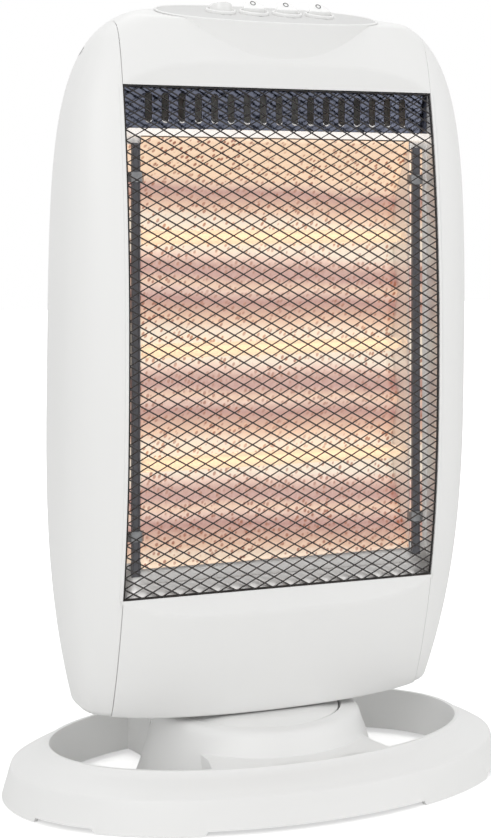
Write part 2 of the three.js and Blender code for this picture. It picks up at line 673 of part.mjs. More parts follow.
/** Half width, front depth, rear depth and girth line of the head at a height. */
function headAt(z) {
  const waist = HEAD_WAIST_HEIGHT;
  const below = Math.max(0, (waist - z) / (waist - HEAD_FLOOR_HEIGHT));
  const above = Math.max(0, (z - waist) / (HEAD_APEX_HEIGHT - waist));
  const taper = HEAD_FOOT_TAPER * below ** FOOT_TAPER_POWER;
  const shoulder = Math.max(0, 1 - above ** SHOULDER_POWER) ** (1 / SHOULDER_ROOT);
  const crest = FRONT_CREST_HEIGHT;
  const low = Math.max(0, (crest - z) / (crest - HEAD_FLOOR_HEIGHT));
  const high = Math.max(0, (z - crest) / (HEAD_APEX_HEIGHT - crest));
  const back = REAR_CREST_HEIGHT;
  const rearLow = Math.max(0, (back - z) / (back - HEAD_FLOOR_HEIGHT));
  const rearHigh = Math.max(0, (z - back) / (HEAD_APEX_HEIGHT - back));
  const fromFloor = Math.max(0, HEAD_FLOOR_HEIGHT + HEAD_BOTTOM_ROUND - z) / HEAD_BOTTOM_ROUND;
  const tuck = HEAD_BOTTOM_ROUND * (1 - Math.sqrt(Math.max(0, 1 - Math.min(1, fromFloor) ** 2)));
  const frontDrop = FRONT_FOOT_DROP * low ** FRONT_FOOT_POWER + FRONT_TOP_DROP * high ** 2;
  const rearDrop = REAR_FOOT_DROP * rearLow ** 2 + REAR_TOP_DROP * rearHigh ** REAR_TOP_POWER;
  return {
    halfWidth: (HEAD_HALF_WIDTH - taper) * shoulder - tuck,
    front: FRONT_DEPTH - frontDrop - tuck,
    rear: REAR_DEPTH - rearDrop - tuck,
    girth: GIRTH_LINE_OFFSET - GIRTH_LINE_LEAN * (z - GIRTH_LINE_HEIGHT),
  };
}

/** One level of the head: a blunt superellipse in front of the girth line, a rounder one behind. */
function headRing(z, inset, at = z) {
  const { halfWidth, front, rear, girth } = headAt(at);
  return Array.from({ length: HEAD_FACETS }, (unused, k) => {
    const angle = (2 * Math.PI * k) / HEAD_FACETS;
    const [c, s] = [Math.cos(angle), Math.sin(angle)];
    const power = s < 0 ? FRONT_PLAN_POWER : REAR_PLAN_POWER;
    const reach = s < 0 ? front + girth - inset : rear - girth - inset;
    const x = (halfWidth - inset) * Math.sign(c) * Math.abs(c) ** (2 / power);
    const y = girth + reach * Math.sign(s) * Math.abs(s) ** (2 / power);
    return new THREE.Vector3(x, y, z);
  });
}

/** Depth of the front surface at a place: the Y of its outer face. */
function frontY(x, z) {
  const { halfWidth, front, girth } = headAt(z);
  const bow = (1 - (Math.abs(x) / halfWidth) ** FRONT_PLAN_POWER) ** (1 / FRONT_PLAN_POWER);
  return girth - (front + girth) * bow;
}

/** Depth of the rear surface at a place. */
function rearY(x, z) {
  const { halfWidth, rear, girth } = headAt(z);
  const bow = (1 - (Math.abs(x) / halfWidth) ** REAR_PLAN_POWER) ** (1 / REAR_PLAN_POWER);
  return girth + (rear - girth) * bow;
}

/** Levels for the lofts: close together at the rounded foot and at the shoulders. */
function headLevels(floor, top) {
  const foot = [0, 0.13, 0.5, 1].map((part) => floor + part * HEAD_BOTTOM_ROUND);
  const start = foot[foot.length - 1];
  const levels = [...foot];
  for (let i = 1; i <= HEAD_LEVELS; i += 1) {
    const part = Math.sin((Math.PI / 2) * (i / HEAD_LEVELS));
    levels.push(start + (top - start) * part);
  }
  return levels;
}

const podFrame = new THREE.Matrix4().compose(
  new THREE.Vector3(0, -POD_CENTRE_DEPTH, POD_CENTRE_HEIGHT),
  new THREE.Quaternion().setFromAxisAngle(new THREE.Vector3(1, 0, 0), THREE.MathUtils.degToRad(POD_SLOPE)),
  new THREE.Vector3(1, 1, 1),
);

/** A ring of the pod in the sloping plane, `below` under the plate and `inset` from the edge. */
function podRing(below, inset) {
  const halfX = POD_HALF_LENGTH - inset;
  const halfY = POD_HALF_DEPTH - inset;
  const ring = ovalRing(halfX, halfY, POD_OVAL_POWER, -below, HEAD_FACETS);
  return ring.map((p) => p.applyMatrix4(podFrame));
}

/** The pod: a sloping oval on a skirt that tapers down into the head. */
function podBody(below, inset) {
  const low = POD_CENTRE_HEIGHT - POD_SKIRT_HEIGHT;
  const halfX = POD_HALF_LENGTH - POD_SKIRT_END_DRAFT - inset;
  const halfY = POD_HALF_DEPTH - POD_SKIRT_DRAFT - inset;
  const foot = ovalRing(halfX, halfY, POD_OVAL_POWER, low + inset, HEAD_FACETS, -POD_CENTRE_DEPTH);
  return loft([foot, podRing(below, inset)]);
}

/** Everything above the sloping plane, `below` under the plate. */
function abovePod(below) {
  const size = 2 * HEAD_HALF_WIDTH;
  const block = new THREE.BoxGeometry(size, size, size).translate(0, 0, size / 2 - below);
  return solid(block.applyMatrix4(podFrame));
}

/** A prism on the pod's oval, from one height over the sloping plane to another. */
function podPrism(inset, low, high) {
  return loft([podRing(-low, inset), podRing(-high, inset)]);
}

const PLATE_SEAT = PLATE_THICKNESS + PLATE_RECESS + FIT;
const POD_LID = PLATE_SEAT + HEAD_WALL;

const headOuter = loft(headLevels(HEAD_FLOOR_HEIGHT, HEAD_TOP_HEIGHT).map((z) => headRing(z, 0)))
  .subtract(abovePod(0))
  .add(podBody(0, 0));

const headHollow = loft([
  headRing(HEAD_FLOOR_HEIGHT - 5, HEAD_WALL, HEAD_FLOOR_HEIGHT),
  ...headLevels(HEAD_FLOOR_HEIGHT, HEAD_TOP_HEIGHT - HEAD_WALL).map((z) => headRing(z, HEAD_WALL)),
])
  .add(podBody(POD_LID, HEAD_WALL))
  .subtract(abovePod(POD_LID));

const headShell = headOuter.subtract(headHollow);

const FAR = 400;
const CUT_OVER = 20;

/** A flat cut in front of the opening's edge that leaves a lens-shaped chamfer in the bowed front. */
function chamferCut(edge, arc) {
  const [near, far] = [frontY(OPENING_HALF_WIDTH, edge), frontY(0, arc)];
  const beyond = edge + (edge - arc) * 0.3;
  const nearBeyond = near + (near - far) * 0.3;
  const reach = FRONT_DEPTH + CUT_OVER;
  return pushed([[nearBeyond, beyond], [far, arc], [-reach, arc], [-reach, beyond]], 'x', -FAR, FAR);
}

/** The wall behind that chamfer. */
function chamferWall(edge, arc) {
  const [near, far] = [frontY(OPENING_HALF_WIDTH, edge), frontY(0, arc)];
  const half = OPENING_HALF_WIDTH - SEAM / 2;
  const wall = HEAD_WALL;
  const past = arc + (arc - edge) * 0.15;
  return pushed([[near, edge], [far, arc], [far + wall, past], [near + wall, edge]], 'x', -half, half)
    .intersect(headOuter);
}

function topCover() {
  const half = OPENING_HALF_WIDTH - SEAM / 2;
  const arc = OPENING_TOP + TOP_CHAMFER_RISE;
  const zone = box([-half, -FAR, OPENING_TOP + SEAM / 2], [half, REAR_SEAM_DEPTH - SEAM / 2, FAR * 2]);
  return headShell
    .subtract(chamferCut(OPENING_TOP, arc))
    .add(chamferWall(OPENING_TOP, arc))
    .intersect(zone)
    .subtract(podPrism(POD_RIM_WIDTH, -PLATE_SEAT, CUT_OVER))
    .subtract(podPrism(POD_RIM_WIDTH + PLATE_LEDGE, -POD_LID - 1, 0));
}

function frontBottomPanel() {
  const half = OPENING_HALF_WIDTH - SEAM / 2;
  const arc = OPENING_BOTTOM - BOTTOM_CHAMFER_DROP;
  const zone = box([-half, -FAR, 0], [half, REAR_SEAM_DEPTH - SEAM / 2, OPENING_BOTTOM - SEAM / 2]);
  return headShell
    .subtract(chamferCut(OPENING_BOTTOM, arc))
    .add(chamferWall(OPENING_BOTTOM, arc))
    .intersect(zone);
}

/** The reveal: the wall that turns in from the side seam to the reflector frame. */
function reveal(side) {
  const steps = 10;
  const inner = OPENING_HALF_WIDTH + SEAM / 2;
  const outer = inner + REVEAL_THICKNESS;
  const curve = Array.from({ length: steps + 1 }, (unused, i) => {
    const z = OPENING_BOTTOM + ((OPENING_TOP - OPENING_BOTTOM) * i) / steps;
    return [frontY(outer, z) + 0.6, z];
  });
  const back = -FRAME_PLANE_DEPTH + 2;
  const outline = [...curve, [back, OPENING_TOP], [back, OPENING_BOTTOM]];
  return pushed(outline, 'x', ...(side > 0 ? [inner, outer] : [-outer, -inner]));
}

/** Place and direction of the shoulder screw. */
function shoulderScrewFrame(side) {
  const z = SHOULDER_SCREW_HEIGHT;
  const tilt = THREE.MathUtils.degToRad(SHOULDER_SCREW_ELEVATION);
  const outward = new THREE.Vector3(side * Math.cos(tilt), 0, Math.sin(tilt));
  const turn = new THREE.Quaternion().setFromUnitVectors(new THREE.Vector3(0, 0, 1), outward);
  const at = new THREE.Vector3(side * headAt(z).halfWidth, -SHOULDER_SCREW_OFFSET, z);
  return new THREE.Matrix4().compose(at, turn, new THREE.Vector3(1, 1, 1));
}

const SCREW_SINK = 3;
const SCREW_LENGTH = 9;

/** A screw that stands along +Z with the top of its head at the given height. */
function screw(top, length) {
  const low = top - SCREW_HEAD_HEIGHT;
  const head = SCREW_HEAD_RADIUS;
  const shank = SCREW_SHANK_RADIUS;
  return turned([
    [0, low - length], [shank * 0.6, low - length], [shank, low - length + 1.2], [shank, low], [head, low],
    [head, low + SCREW_HEAD_HEIGHT * 0.5], [head * 0.6, top], [0, top],
  ], SCREW_FACETS);
}

function inFrame(body, frame) {
  return body.transform(frame.toArray());
}

function sideShell(side) {
  const inner = OPENING_HALF_WIDTH + SEAM / 2;
  const xs = side > 0 ? [inner, FAR] : [-FAR, -inner];
  const zone = box([xs[0], -FAR, 0], [xs[1], REAR_SEAM_DEPTH - SEAM / 2, FAR * 2]);
  const frame = shoulderScrewFrame(side);
  const boss = inFrame(post(SCREW_HEAD_RADIUS + SCREW_BOSS_WALL, -SCREW_LENGTH - 2, 8), frame);
  const sink = inFrame(post(SCREW_HEAD_RADIUS + 0.6, -SCREW_SINK - SCREW_HEAD_HEIGHT, CUT_OVER), frame);
  const pilot = inFrame(post(SCREW_SHANK_RADIUS + FIT, -SCREW_LENGTH - SCREW_SINK, 0), frame);
  let shell = headShell.intersect(zone).add(reveal(side)).add(boss.intersect(headOuter).intersect(zone));
  REAR_SCREW_HEIGHTS.forEach((z) => {
    shell = shell.add(rearScrewBoss(side, z));
  });
  shell = shell.subtract(sink).subtract(pilot);
  REAR_SCREW_HEIGHTS.forEach((z) => {
    const hole = alongY(SCREW_SHANK_RADIUS + FIT, side * REAR_SCREW_X, z, 0, REAR_SEAM_DEPTH + 1);
    shell = shell.subtract(hole);
  });
  return shell;
}

/** A cylinder along Y at (x, z). */
function alongY(radius, x, z, low, high, facets = SMALL_FACETS) {
  const shape = new THREE.CylinderGeometry(radius, radius, high - low, facets);
  return solid(shape.translate(x, (low + high) / 2, z));
}

/** A boss in the side shell on a rib from its wall, which takes a screw of the rear cover. */
function rearScrewBoss(side, z) {
  const high = REAR_SEAM_DEPTH - SEAM / 2;
  const x = side * REAR_SCREW_X;
  const wall = side * (headAt(z).halfWidth - HEAD_WALL / 2);
  const xs = [x, wall].sort((a, b) => a - b);
  const boss = alongY(SCREW_SHANK_RADIUS + SCREW_BOSS_WALL, x, z, 2, high, 12);
  const rib = box([xs[0], 4, z - 1.2], [xs[1], high, z + 1.2]);
  return boss.add(rib).intersect(headOuter);
}

/** Rows of slots through the rear cover. */
function ventSlots(bottom) {
  const slots = [];
  for (let row = 0; row < VENT_ROWS; row += 1) {
    for (let column = 0; column < VENT_COLUMNS; column += 1) {
      const x = (column - (VENT_COLUMNS - 1) / 2) * VENT_COLUMN_PITCH;
      const z = bottom + row * VENT_ROW_PITCH;
      slots.push(pushed(slotOutline(x, z, VENT_LENGTH, VENT_WIDTH), 'y', REAR_SEAM_DEPTH + 5, FAR));
    }
  }
  return union(...slots);
}

/** Recess in the rear cover to carry the heater by, grown by a wall on each side when asked. */
function gripBlock(grow) {
  const half = GRIP_LENGTH / 2 + grow;
  const low = GRIP_CENTRE_HEIGHT - GRIP_HEIGHT / 2 - grow;
  const high = GRIP_CENTRE_HEIGHT + GRIP_HEIGHT / 2 + grow;
  const corner = GRIP_HEIGHT / 3;
  const outline = [
    [-half + corner, low], [half - corner, low], [half, low + corner], [half, high - corner],
    [half - corner, high], [-half + corner, high], [-half, high - corner], [-half, low + corner],
  ];
  const floor = rearY(0, GRIP_CENTRE_HEIGHT + GRIP_HEIGHT / 2) - GRIP_DEPTH;
  return pushed(outline, 'y', Math.max(floor - grow, REAR_SEAM_DEPTH + SEAM / 2), FAR);
}

function rearCover() {
  const zone = box([-FAR, REAR_SEAM_DEPTH + SEAM / 2, 0], [FAR, FAR, FAR * 2]);
  const glandHole = alongY(GLAND_RADIUS + FIT, 0, GLAND_HEIGHT, REAR_SEAM_DEPTH + 5, FAR);
  let cover = headShell.intersect(zone)
    .subtract(ventSlots(UPPER_VENT_BOTTOM))
    .subtract(ventSlots(LOWER_VENT_BOTTOM))
    .add(gripBlock(HEAD_WALL).intersect(headOuter))
    .subtract(gripBlock(0))
    .subtract(glandHole);
  [-1, 1].forEach((side) => {
    REAR_SCREW_HEIGHTS.forEach((z) => {
      const x = side * REAR_SCREW_X;
      const seat = rearY(x, z) - REAR_SCREW_RECESS;
      const tube = alongY(SCREW_HEAD_RADIUS + SCREW_BOSS_WALL, x, z, REAR_SEAM_DEPTH + SEAM / 2, FAR);
      cover = cover
        .add(tube.intersect(headOuter))
        .subtract(alongY(SCREW_HEAD_RADIUS + 0.6, x, z, seat, FAR))
        .subtract(alongY(SCREW_SHANK_RADIUS + FIT, x, z, REAR_SEAM_DEPTH - 1, seat + 1, SCREW_FACETS));
    });
  });
  return cover;
}

function headFloorPlate() {
  const inset = HEAD_WALL + FIT;
  const low = HEAD_FLOOR_HEIGHT;
  const high = low + FLOOR_PLATE_THICKNESS;
  const levels = [low, low + FLOOR_PLATE_THICKNESS / 2, high];
  return loft(levels.map((z) => headRing(z, inset)))
    .subtract(post(CABLE_HOLE_RADIUS, low - 1, high + 1))
    .subtract(post(SHAFT_RADIUS + SHAFT_HOLE_CLEARANCE, low - 1, high + 1, 0, MOTOR_OFFSET));
}

// ---------------------------------------------------------------- front net

/** The net follows the side seam from bottom to top and runs straight across. */
function netY(z) {
  return frontY(OPENING_HALF_WIDTH, z) + NET_INSET;
}

/**
 * Diamond net as one body: a small diamond at each crossing and a strand between neighbours,
 * on the front and on the back, with walls wherever a face has no neighbour.
 */
function netStrands() {
  const half = OPENING_HALF_WIDTH - SEAM - NET_RIM_WIDTH / 2;
  const low = OPENING_BOTTOM + SEAM + NET_RIM_WIDTH / 2;
  const high = OPENING_TOP - SEAM - NET_RIM_WIDTH / 2;
  const stepX = half / NET_COLUMNS;
  const stepZ = (high - low) / (2 * NET_ROWS);
  const diagonal = Math.hypot(stepX, stepZ);
  const wide = (NET_STRAND_WIDTH / 2) * (diagonal / stepZ);
  const tall = (NET_STRAND_WIDTH / 2) * (diagonal / stepX);
  const points = [];
  const first = new Map();
  for (let i = 0; i <= 2 * NET_COLUMNS; i += 1) {
    for (let j = i % 2; j <= 2 * NET_ROWS; j += 2) {
      const [x, z] = [-half + i * stepX, low + j * stepZ];
      first.set(`${i},${j}`, points.length);
      points.push([x + wide, z], [x, z + tall], [x - wide, z], [x, z - tall]);
    }
  }
  const [EAST, NORTH, WEST, SOUTH] = [0, 1, 2, 3];
  const quads = [];
  first.forEach((a, key) => {
    const [i, j] = key.split(',').map(Number);
    quads.push([a + EAST, a + NORTH, a + WEST, a + SOUTH]);
    const up = first.get(`${i + 1},${j + 1}`);
    const down = first.get(`${i + 1},${j - 1}`);
    if (up !== undefined) quads.push([a + EAST, up + SOUTH, up + WEST, a + NORTH]);
    if (down !== undefined) quads.push([a + SOUTH, down + WEST, down + NORTH, a + EAST]);
  });
  return thickened(points, quads, NET_THICKNESS);
}

/** Flat [x, z] quads bent onto the net's surface and given a thickness towards the back. */
function thickened(points, quads, thickness) {
  const count = points.length;
  const position = [];
  [0, thickness].forEach((depth) => {
    points.forEach(([x, z]) => position.push(x, netY(z) + depth, z));
  });
  const faces = [];
  const edges = new Map();
  quads.forEach(([a, b, c, d]) => {
    faces.push(a, b, c, a, c, d);
    faces.push(a + count, c + count, b + count, a + count, d + count, c + count);
    [[a, b], [b, c], [c, d], [d, a]].forEach(([from, to]) => edges.set(`${from},${to}`, [from, to]));
  });
  edges.forEach(([from, to]) => {
    if (edges.has(`${to},${from}`)) return;
    faces.push(to, from, from + count, to, from + count, to + count);
  });
  const geometry = new THREE.BufferGeometry();
  geometry.setAttribute('position', new THREE.Float32BufferAttribute(position, 3));
  geometry.setIndex(faces);
  return solid(geometry);
}

/** The rim round the net: a bent bar outline, cut out in the middle. */
function netRim() {
  const steps = 8;
  const [low, high] = [OPENING_BOTTOM + SEAM, OPENING_TOP - SEAM];
  const half = OPENING_HALF_WIDTH - SEAM;
  const levels = Array.from({ length: steps + 1 }, (unused, i) => low + ((high - low) * i) / steps);
  const front = levels.map((z) => [netY(z) - 0.2, z]);
  const back = levels.map((z) => [netY(z) - 0.2 + NET_RIM_THICKNESS, z]).reverse();
  const sheet = pushed([...front, ...back], 'x', -half, half);
  const band = NET_RIM_WIDTH;
  const middle = box([-half + band, -FAR, low + band], [half - band, FAR, high - band]);
  return sheet.subtract(middle);
}

function frontGrille() {
  const half = OPENING_HALF_WIDTH - SEAM;
  const zone = box([-half, -FAR, OPENING_BOTTOM + SEAM], [half, FAR, OPENING_TOP - SEAM]);
  return netStrands().intersect(zone).add(netRim());
}

// ---------------------------------------------------------------- reflector and tubes

function tubeHeight(index) {
  return MIDDLE_TUBE_HEIGHT + (index - (TUBE_COUNT - 1) / 2) * TUBE_PITCH;
}

/** Front line of the reflector in the YZ plane: sloping ends and one lobe for each tube. */
function reflectorLine() {
  const frame = -FRAME_PLANE_DEPTH;
  const first = REFLECTOR_BOTTOM + REFLECTOR_END_SLOPE;
  const perLobe = 6;
  const line = [[frame, REFLECTOR_BOTTOM]];
  for (let i = 0; i <= TUBE_COUNT * perLobe; i += 1) {
    const z = first + (TUBE_PITCH * i) / perLobe;
    const hollow = Math.abs(Math.sin((Math.PI * i) / perLobe));
    line.push([-LOBE_FLOOR_DEPTH - LOBE_HEIGHT * (1 - hollow), z]);
  }
  line.push([frame, REFLECTOR_TOP]);
  return line;
}

function reflector() {
  const line = reflectorLine();
  const back = line.map(([y, z]) => [y + SHEET, z]).reverse();
  const half = REFLECTOR_HALF_WIDTH + SHEET;
  const frame = -FRAME_PLANE_DEPTH;
  const trough = pushed([...line, ...back], 'x', -half, half);
  const end = pushed([...line], 'x', 0, SHEET);
  const ends = [-half, half - SHEET].map((x) => end.translate([x, 0, 0]));
  const wide = OPENING_HALF_WIDTH - SEAM / 2;
  const flange = box([-wide, frame, FLANGE_BOTTOM], [wide, frame + SHEET, FLANGE_TOP])
    .subtract(box([-REFLECTOR_HALF_WIDTH, frame - 1, REFLECTOR_BOTTOM],
      [REFLECTOR_HALF_WIDTH, frame + SHEET + 1, REFLECTOR_TOP]));
  let body = union(trough, ...ends, flange);
  for (let i = 0; i < TUBE_COUNT; i += 1) {
    body = body.subtract(alongX(TUBE_HOLE_RADIUS, -FAR, FAR, -TUBE_DEPTH, tubeHeight(i)));
  }
  return body;
}

/** A cylinder along X at (y, z). */
function alongX(radius, low, high, y, z, facets = SMALL_FACETS) {
  const shape = new THREE.CylinderGeometry(radius, radius, high - low, facets);
  return solid(shape.rotateZ(Math.PI / 2).translate((low + high) / 2, y, z));
}

/** A solid of revolution about an axis along X at (y, z), from [radius, x] points. */
function turnedAlongX(points, y, z, facets = SMALL_FACETS) {
  return turned(points, facets).rotate([0, 90, 0]).translate([0, y, z]);
}

const CAP_START = REFLECTOR_HALF_WIDTH + SHEET + 1.5;

function halogenTube(index) {
  const end = CAP_START + CAP_SOCKET_DEPTH - FIT;
  const seal = end - TUBE_SEAL_LENGTH;
  const body = Math.min(TUBE_HALF_LENGTH, seal);
  const profile = [
    [0, -end], [TUBE_SEAL_RADIUS, -end], [TUBE_SEAL_RADIUS, -seal], [TUBE_RADIUS, -body + 3],
    [TUBE_RADIUS, body - 3], [TUBE_SEAL_RADIUS, seal], [TUBE_SEAL_RADIUS, end], [0, end],
  ];
  return turnedAlongX(profile, -TUBE_DEPTH, tubeHeight(index), TUBE_FACETS);
}

function tubeCap(side, index) {
  const [near, far] = [CAP_START, CAP_START + CAP_LENGTH];
  const bore = TUBE_SEAL_RADIUS + FIT;
  const deep = near + CAP_SOCKET_DEPTH;
  const profile = [
    [bore, near], [CAP_RADIUS, near], [CAP_RADIUS, far - 2], [CAP_RADIUS - 2, far], [0, far], [0, deep],
    [bore, deep],
  ].map(([r, x]) => [r, x * side]);
  return turnedAlongX(profile, -TUBE_DEPTH, tubeHeight(index), TUBE_FACETS);
}

/** Sheet bracket that carries the caps of one side and is fixed to the reflector's end wall. */
function tubeBracket(side) {
  const wall = REFLECTOR_HALF_WIDTH + SHEET + FIT;
  const plate = wall + BRACKET_OFFSET;
  const low = tubeHeight(0) - BRACKET_END_LENGTH;
  const high = tubeHeight(TUBE_COUNT - 1) + BRACKET_END_LENGTH;
  const front = -TUBE_DEPTH - BRACKET_WIDTH / 2 - 1;
  const back = -TUBE_DEPTH + BRACKET_WIDTH / 2;
  const outline = [
    [wall, front], [plate + SHEET, front], [plate + SHEET, back], [plate, back],
    [plate, front + SHEET], [wall + SHEET, front + SHEET], [wall + SHEET, front + 5], [wall, front + 5],
  ].map(([x, y]) => [x * side, y]);
  let body = pushed(outline, 'z', low, high);
  for (let i = 0; i < TUBE_COUNT; i += 1) {
    const hole = alongX(CAP_RADIUS + FIT, plate - 1, plate + SHEET + 1, 0, tubeHeight(i));
    body = body.subtract(side > 0 ? hole.translate([0, -TUBE_DEPTH, 0])
      : hole.translate([-2 * plate - SHEET, -TUBE_DEPTH, 0]));
  }
  return body;
}

/** Dark upright strip at the edge of the reflector, with two raised clips. */
function sideStrip(side) {
  const inner = REFLECTOR_HALF_WIDTH + FIT;
  const outer = inner + STRIP_WIDTH;
  const back = -FRAME_PLANE_DEPTH - FIT;
  const front = back - STRIP_THICKNESS;
  const [low, high] = [REFLECTOR_BOTTOM + STRIP_END_GAP, REFLECTOR_TOP - STRIP_END_GAP];
  const lip = 1;
  const channel = [
    [inner, back], [inner, front], [inner + lip, front], [inner + lip, back - lip],
    [outer - lip, back - lip], [outer - lip, front], [outer, front], [outer, back],
  ].map(([x, y]) => [x * side, y]);
  let strip = pushed(channel, 'z', low, high);
  [low + CLIP_INSET, high - CLIP_INSET].forEach((z) => {
    const xs = [(inner - 1) * side, (outer + 1) * side].sort((a, b) => a - b);
    const half = CLIP_LENGTH / 2;
    strip = strip.add(box([xs[0], front - CLIP_PROUD, z - half], [xs[1], front + lip, z + half]));
  });
  return strip;
}

/** Slotted strip above the reflector, behind the top of the net. */
function louvreStrip() {
  const half = OPENING_HALF_WIDTH - SEAM / 2;
  const back = -FRAME_PLANE_DEPTH + SHEET;
  const low = FLANGE_TOP + FIT;
  const plate = box([-half, back - SHEET, low], [half, back, LOUVRE_TOP]);
  const visible = (low + OPENING_TOP) / 2;
  const count = 2 * Math.floor((half - LOUVRE_PITCH) / LOUVRE_PITCH) + 1;
  const slots = Array.from({ length: count }, (unused, i) => {
    const x = (i - (count - 1) / 2) * LOUVRE_PITCH;
    const outline = slotOutline(visible, x, LOUVRE_SLOT_HEIGHT, LOUVRE_SLOT_WIDTH).map(([a, b]) => [b, a]);
    return pushed(outline, 'y', back - 5, back + 5);
  });
  return plate.subtract(union(...slots));
}

function upperShelf() {
  const half = OPENING_HALF_WIDTH - SEAM / 2;
  const back = -FRAME_PLANE_DEPTH - FIT;
  const front = back - SHELF_DEPTH;
  const high = FLANGE_TOP;
  const low = high - SHELF_HEIGHT;
  const outline = [[back, high], [front, high], [front, low], [front + SHEET, low],
    [front + SHEET, high - SHEET], [back, high - SHEET]];
  return pushed(outline, 'x', -half, half);
}

/** Tray of sheet steel behind the reflector; its edges reach the reflector's flange. */
function heatShield() {
  const front = -FRAME_PLANE_DEPTH + SHEET + FIT;
  const low = FLANGE_BOTTOM + SHIELD_SETBACK;
  const high = FLANGE_TOP - SHIELD_SETBACK + 1;
  const outline = [
    [front, low], [SHIELD_DEPTH, low], [SHIELD_DEPTH, high], [front, high],
    [front, high - SHEET], [SHIELD_DEPTH - SHEET, high - SHEET],
    [SHIELD_DEPTH - SHEET, low + SHEET], [front, low + SHEET],
  ];
  return pushed(outline, 'x', -SHIELD_HALF_WIDTH, SHIELD_HALF_WIDTH);
}

// ---------------------------------------------------------------- switches

const rockerUp = (index) => (index === 0 ? -1 : 1);

function switchBody() {
  const low = -SWITCH_BODY_DEPTH;
  return turned([
    [0, low], [SWITCH_BODY_RADIUS, low], [SWITCH_BODY_RADIUS, FIT], [BEZEL_RADIUS, FIT],
    [BEZEL_RADIUS, BEZEL_HEIGHT - 0.6], [BEZEL_RADIUS - 0.6, BEZEL_HEIGHT],
    [ROCKER_WELL_RADIUS, BEZEL_HEIGHT], [ROCKER_WELL_RADIUS, -ROCKER_WELL_DEPTH], [0, -ROCKER_WELL_DEPTH],
  ], SWITCH_FACETS);
}

/** A round rocker with a dished face of two flats, on a pin along X, centred on its pivot. */
function rocker() {
  const edge = ROCKER_CENTRE_HEIGHT + ROCKER_RADIUS * Math.tan(THREE.MathUtils.degToRad(ROCKER_FACE_ANGLE));
  const disc = post(ROCKER_RADIUS, -1.5, edge, 0, 0, SWITCH_FACETS);
  const stem = post(ROCKER_STEM_RADIUS, -ROCKER_STEM_DEPTH, 0, 0, 0, TUBE_FACETS);
  const wide = ROCKER_RADIUS + 1;
  const top = edge + 5;
  const slope = ROCKER_CENTRE_HEIGHT + wide * Math.tan(THREE.MathUtils.degToRad(ROCKER_FACE_ANGLE));
  const dish = pushed([[-wide, slope], [0, ROCKER_CENTRE_HEIGHT], [wide, slope], [wide, top], [-wide, top]],
    'x', -wide, wide);
  const pin = alongX(ROCKER_PIVOT_RADIUS, -ROCKER_WELL_RADIUS + FIT, ROCKER_WELL_RADIUS - FIT, 0, 0, 10);
  return union(disc.subtract(dish), stem, pin);
}

function controlPlate() {
  const inset = POD_RIM_WIDTH + FIT;
  const halfX = POD_HALF_LENGTH - inset;
  const halfY = POD_HALF_DEPTH - inset;
  const top = -PLATE_RECESS;
  let plate = loft([
    ovalRing(halfX, halfY, POD_OVAL_POWER, top - PLATE_THICKNESS, HEAD_FACETS),
    ovalRing(halfX, halfY, POD_OVAL_POWER, top, HEAD_FACETS),
  ]);
  for (let i = 0; i < SWITCH_COUNT; i += 1) {
    const x = FIRST_SWITCH_X + i * SWITCH_PITCH;
    plate = plate.subtract(post(SWITCH_BODY_RADIUS + FIT, -20, 5, x, SWITCH_ROW_OFFSET, SWITCH_FACETS));
  }
  return plate;
}

// ---------------------------------------------------------------- small parts in the head

function thermalCutout() {
  const back = SHIELD_DEPTH + FIT;
  const face = back + CUTOUT_HEIGHT;
  const x = CUTOUT_X;
  const z = tubeHeight(TUBE_COUNT - 1) + CUTOUT_RISE;
  const reach = CUTOUT_EAR_REACH;
  const cup = alongY(CUTOUT_RADIUS, x, z, back, face, 16);
  const ears = box([x - reach, back, z - 3], [x + reach, back + 1, z + 3]);
  const tags = [x - CUTOUT_TAG_OFFSET, x + CUTOUT_TAG_OFFSET].map((middle) => (
    box([middle - 0.6, face - 1, z - 2.4], [middle + 0.6, face + 6, z + 2.4])));
  return union(cup, ears, ...tags);
}

function tiltSwitch() {
  const [length, width, height] = TILT_SWITCH_SIZE;
  const low = HEAD_FLOOR_HEIGHT + FLOOR_PLATE_THICKNESS + FIT;
  const [x, y] = [-72, 24];
  const body = box([x - length / 2, y - width / 2, low], [x + length / 2, y + width / 2, low + height]);
  const foot = box([x - length / 2 - 6, y - width / 2, low], [x + length / 2 + 6, y + width / 2, low + 2]);
  const tags = [-7, 7].map((dx) => (
    box([x + dx - 0.6, y - 2.4, low + height - 1], [x + dx + 0.6, y + 2.4, low + height + 6])));
  return union(body, foot, ...tags);
}

function terminalBlock() {
  const [length, width, height] = TERMINAL_SIZE;
  const low = HEAD_FLOOR_HEIGHT + FLOOR_PLATE_THICKNESS + FIT;
  const [x, y] = [68, 24];
  const pole = length / TERMINAL_POLES;
  let body = box([x - length / 2, y - width / 2, low], [x + length / 2, y + width / 2, low + height * 0.5]);
  for (let i = 0; i < TERMINAL_POLES; i += 1) {
    const start = x - length / 2 + i * pole + 1;
    body = body.add(box([start, y - width * 0.3, low], [start + pole - 2, y + width * 0.3, low + height]));
    body = body.subtract(post(1.6, low + height * 0.4, low + height + 1, start + pole / 2 - 1, y, 8));
  }
  return body;
}

/** Cable gland in the rear cover: a flange outside, a ribbed stem inside, open along its axis. */
function cableGland() {
  const face = rearY(0, GLAND_HEIGHT) + FIT + 0.6;
  const profile = [
    [GLAND_BORE_RADIUS, face - GLAND_LENGTH], [GLAND_RADIUS, face - GLAND_LENGTH], [GLAND_RADIUS, face],
    [GLAND_FLANGE_RADIUS, face], [GLAND_FLANGE_RADIUS, face + 2], [GLAND_RADIUS, face + 4],
    [GLAND_BORE_RADIUS + 1, face + 7], [GLAND_BORE_RADIUS, face + 7],
  ];
  return turned(profile, SMALL_FACETS).rotate([-90, 0, 0]).translate([0, 0, GLAND_HEIGHT]);
}

// ---------------------------------------------------------------- assembly

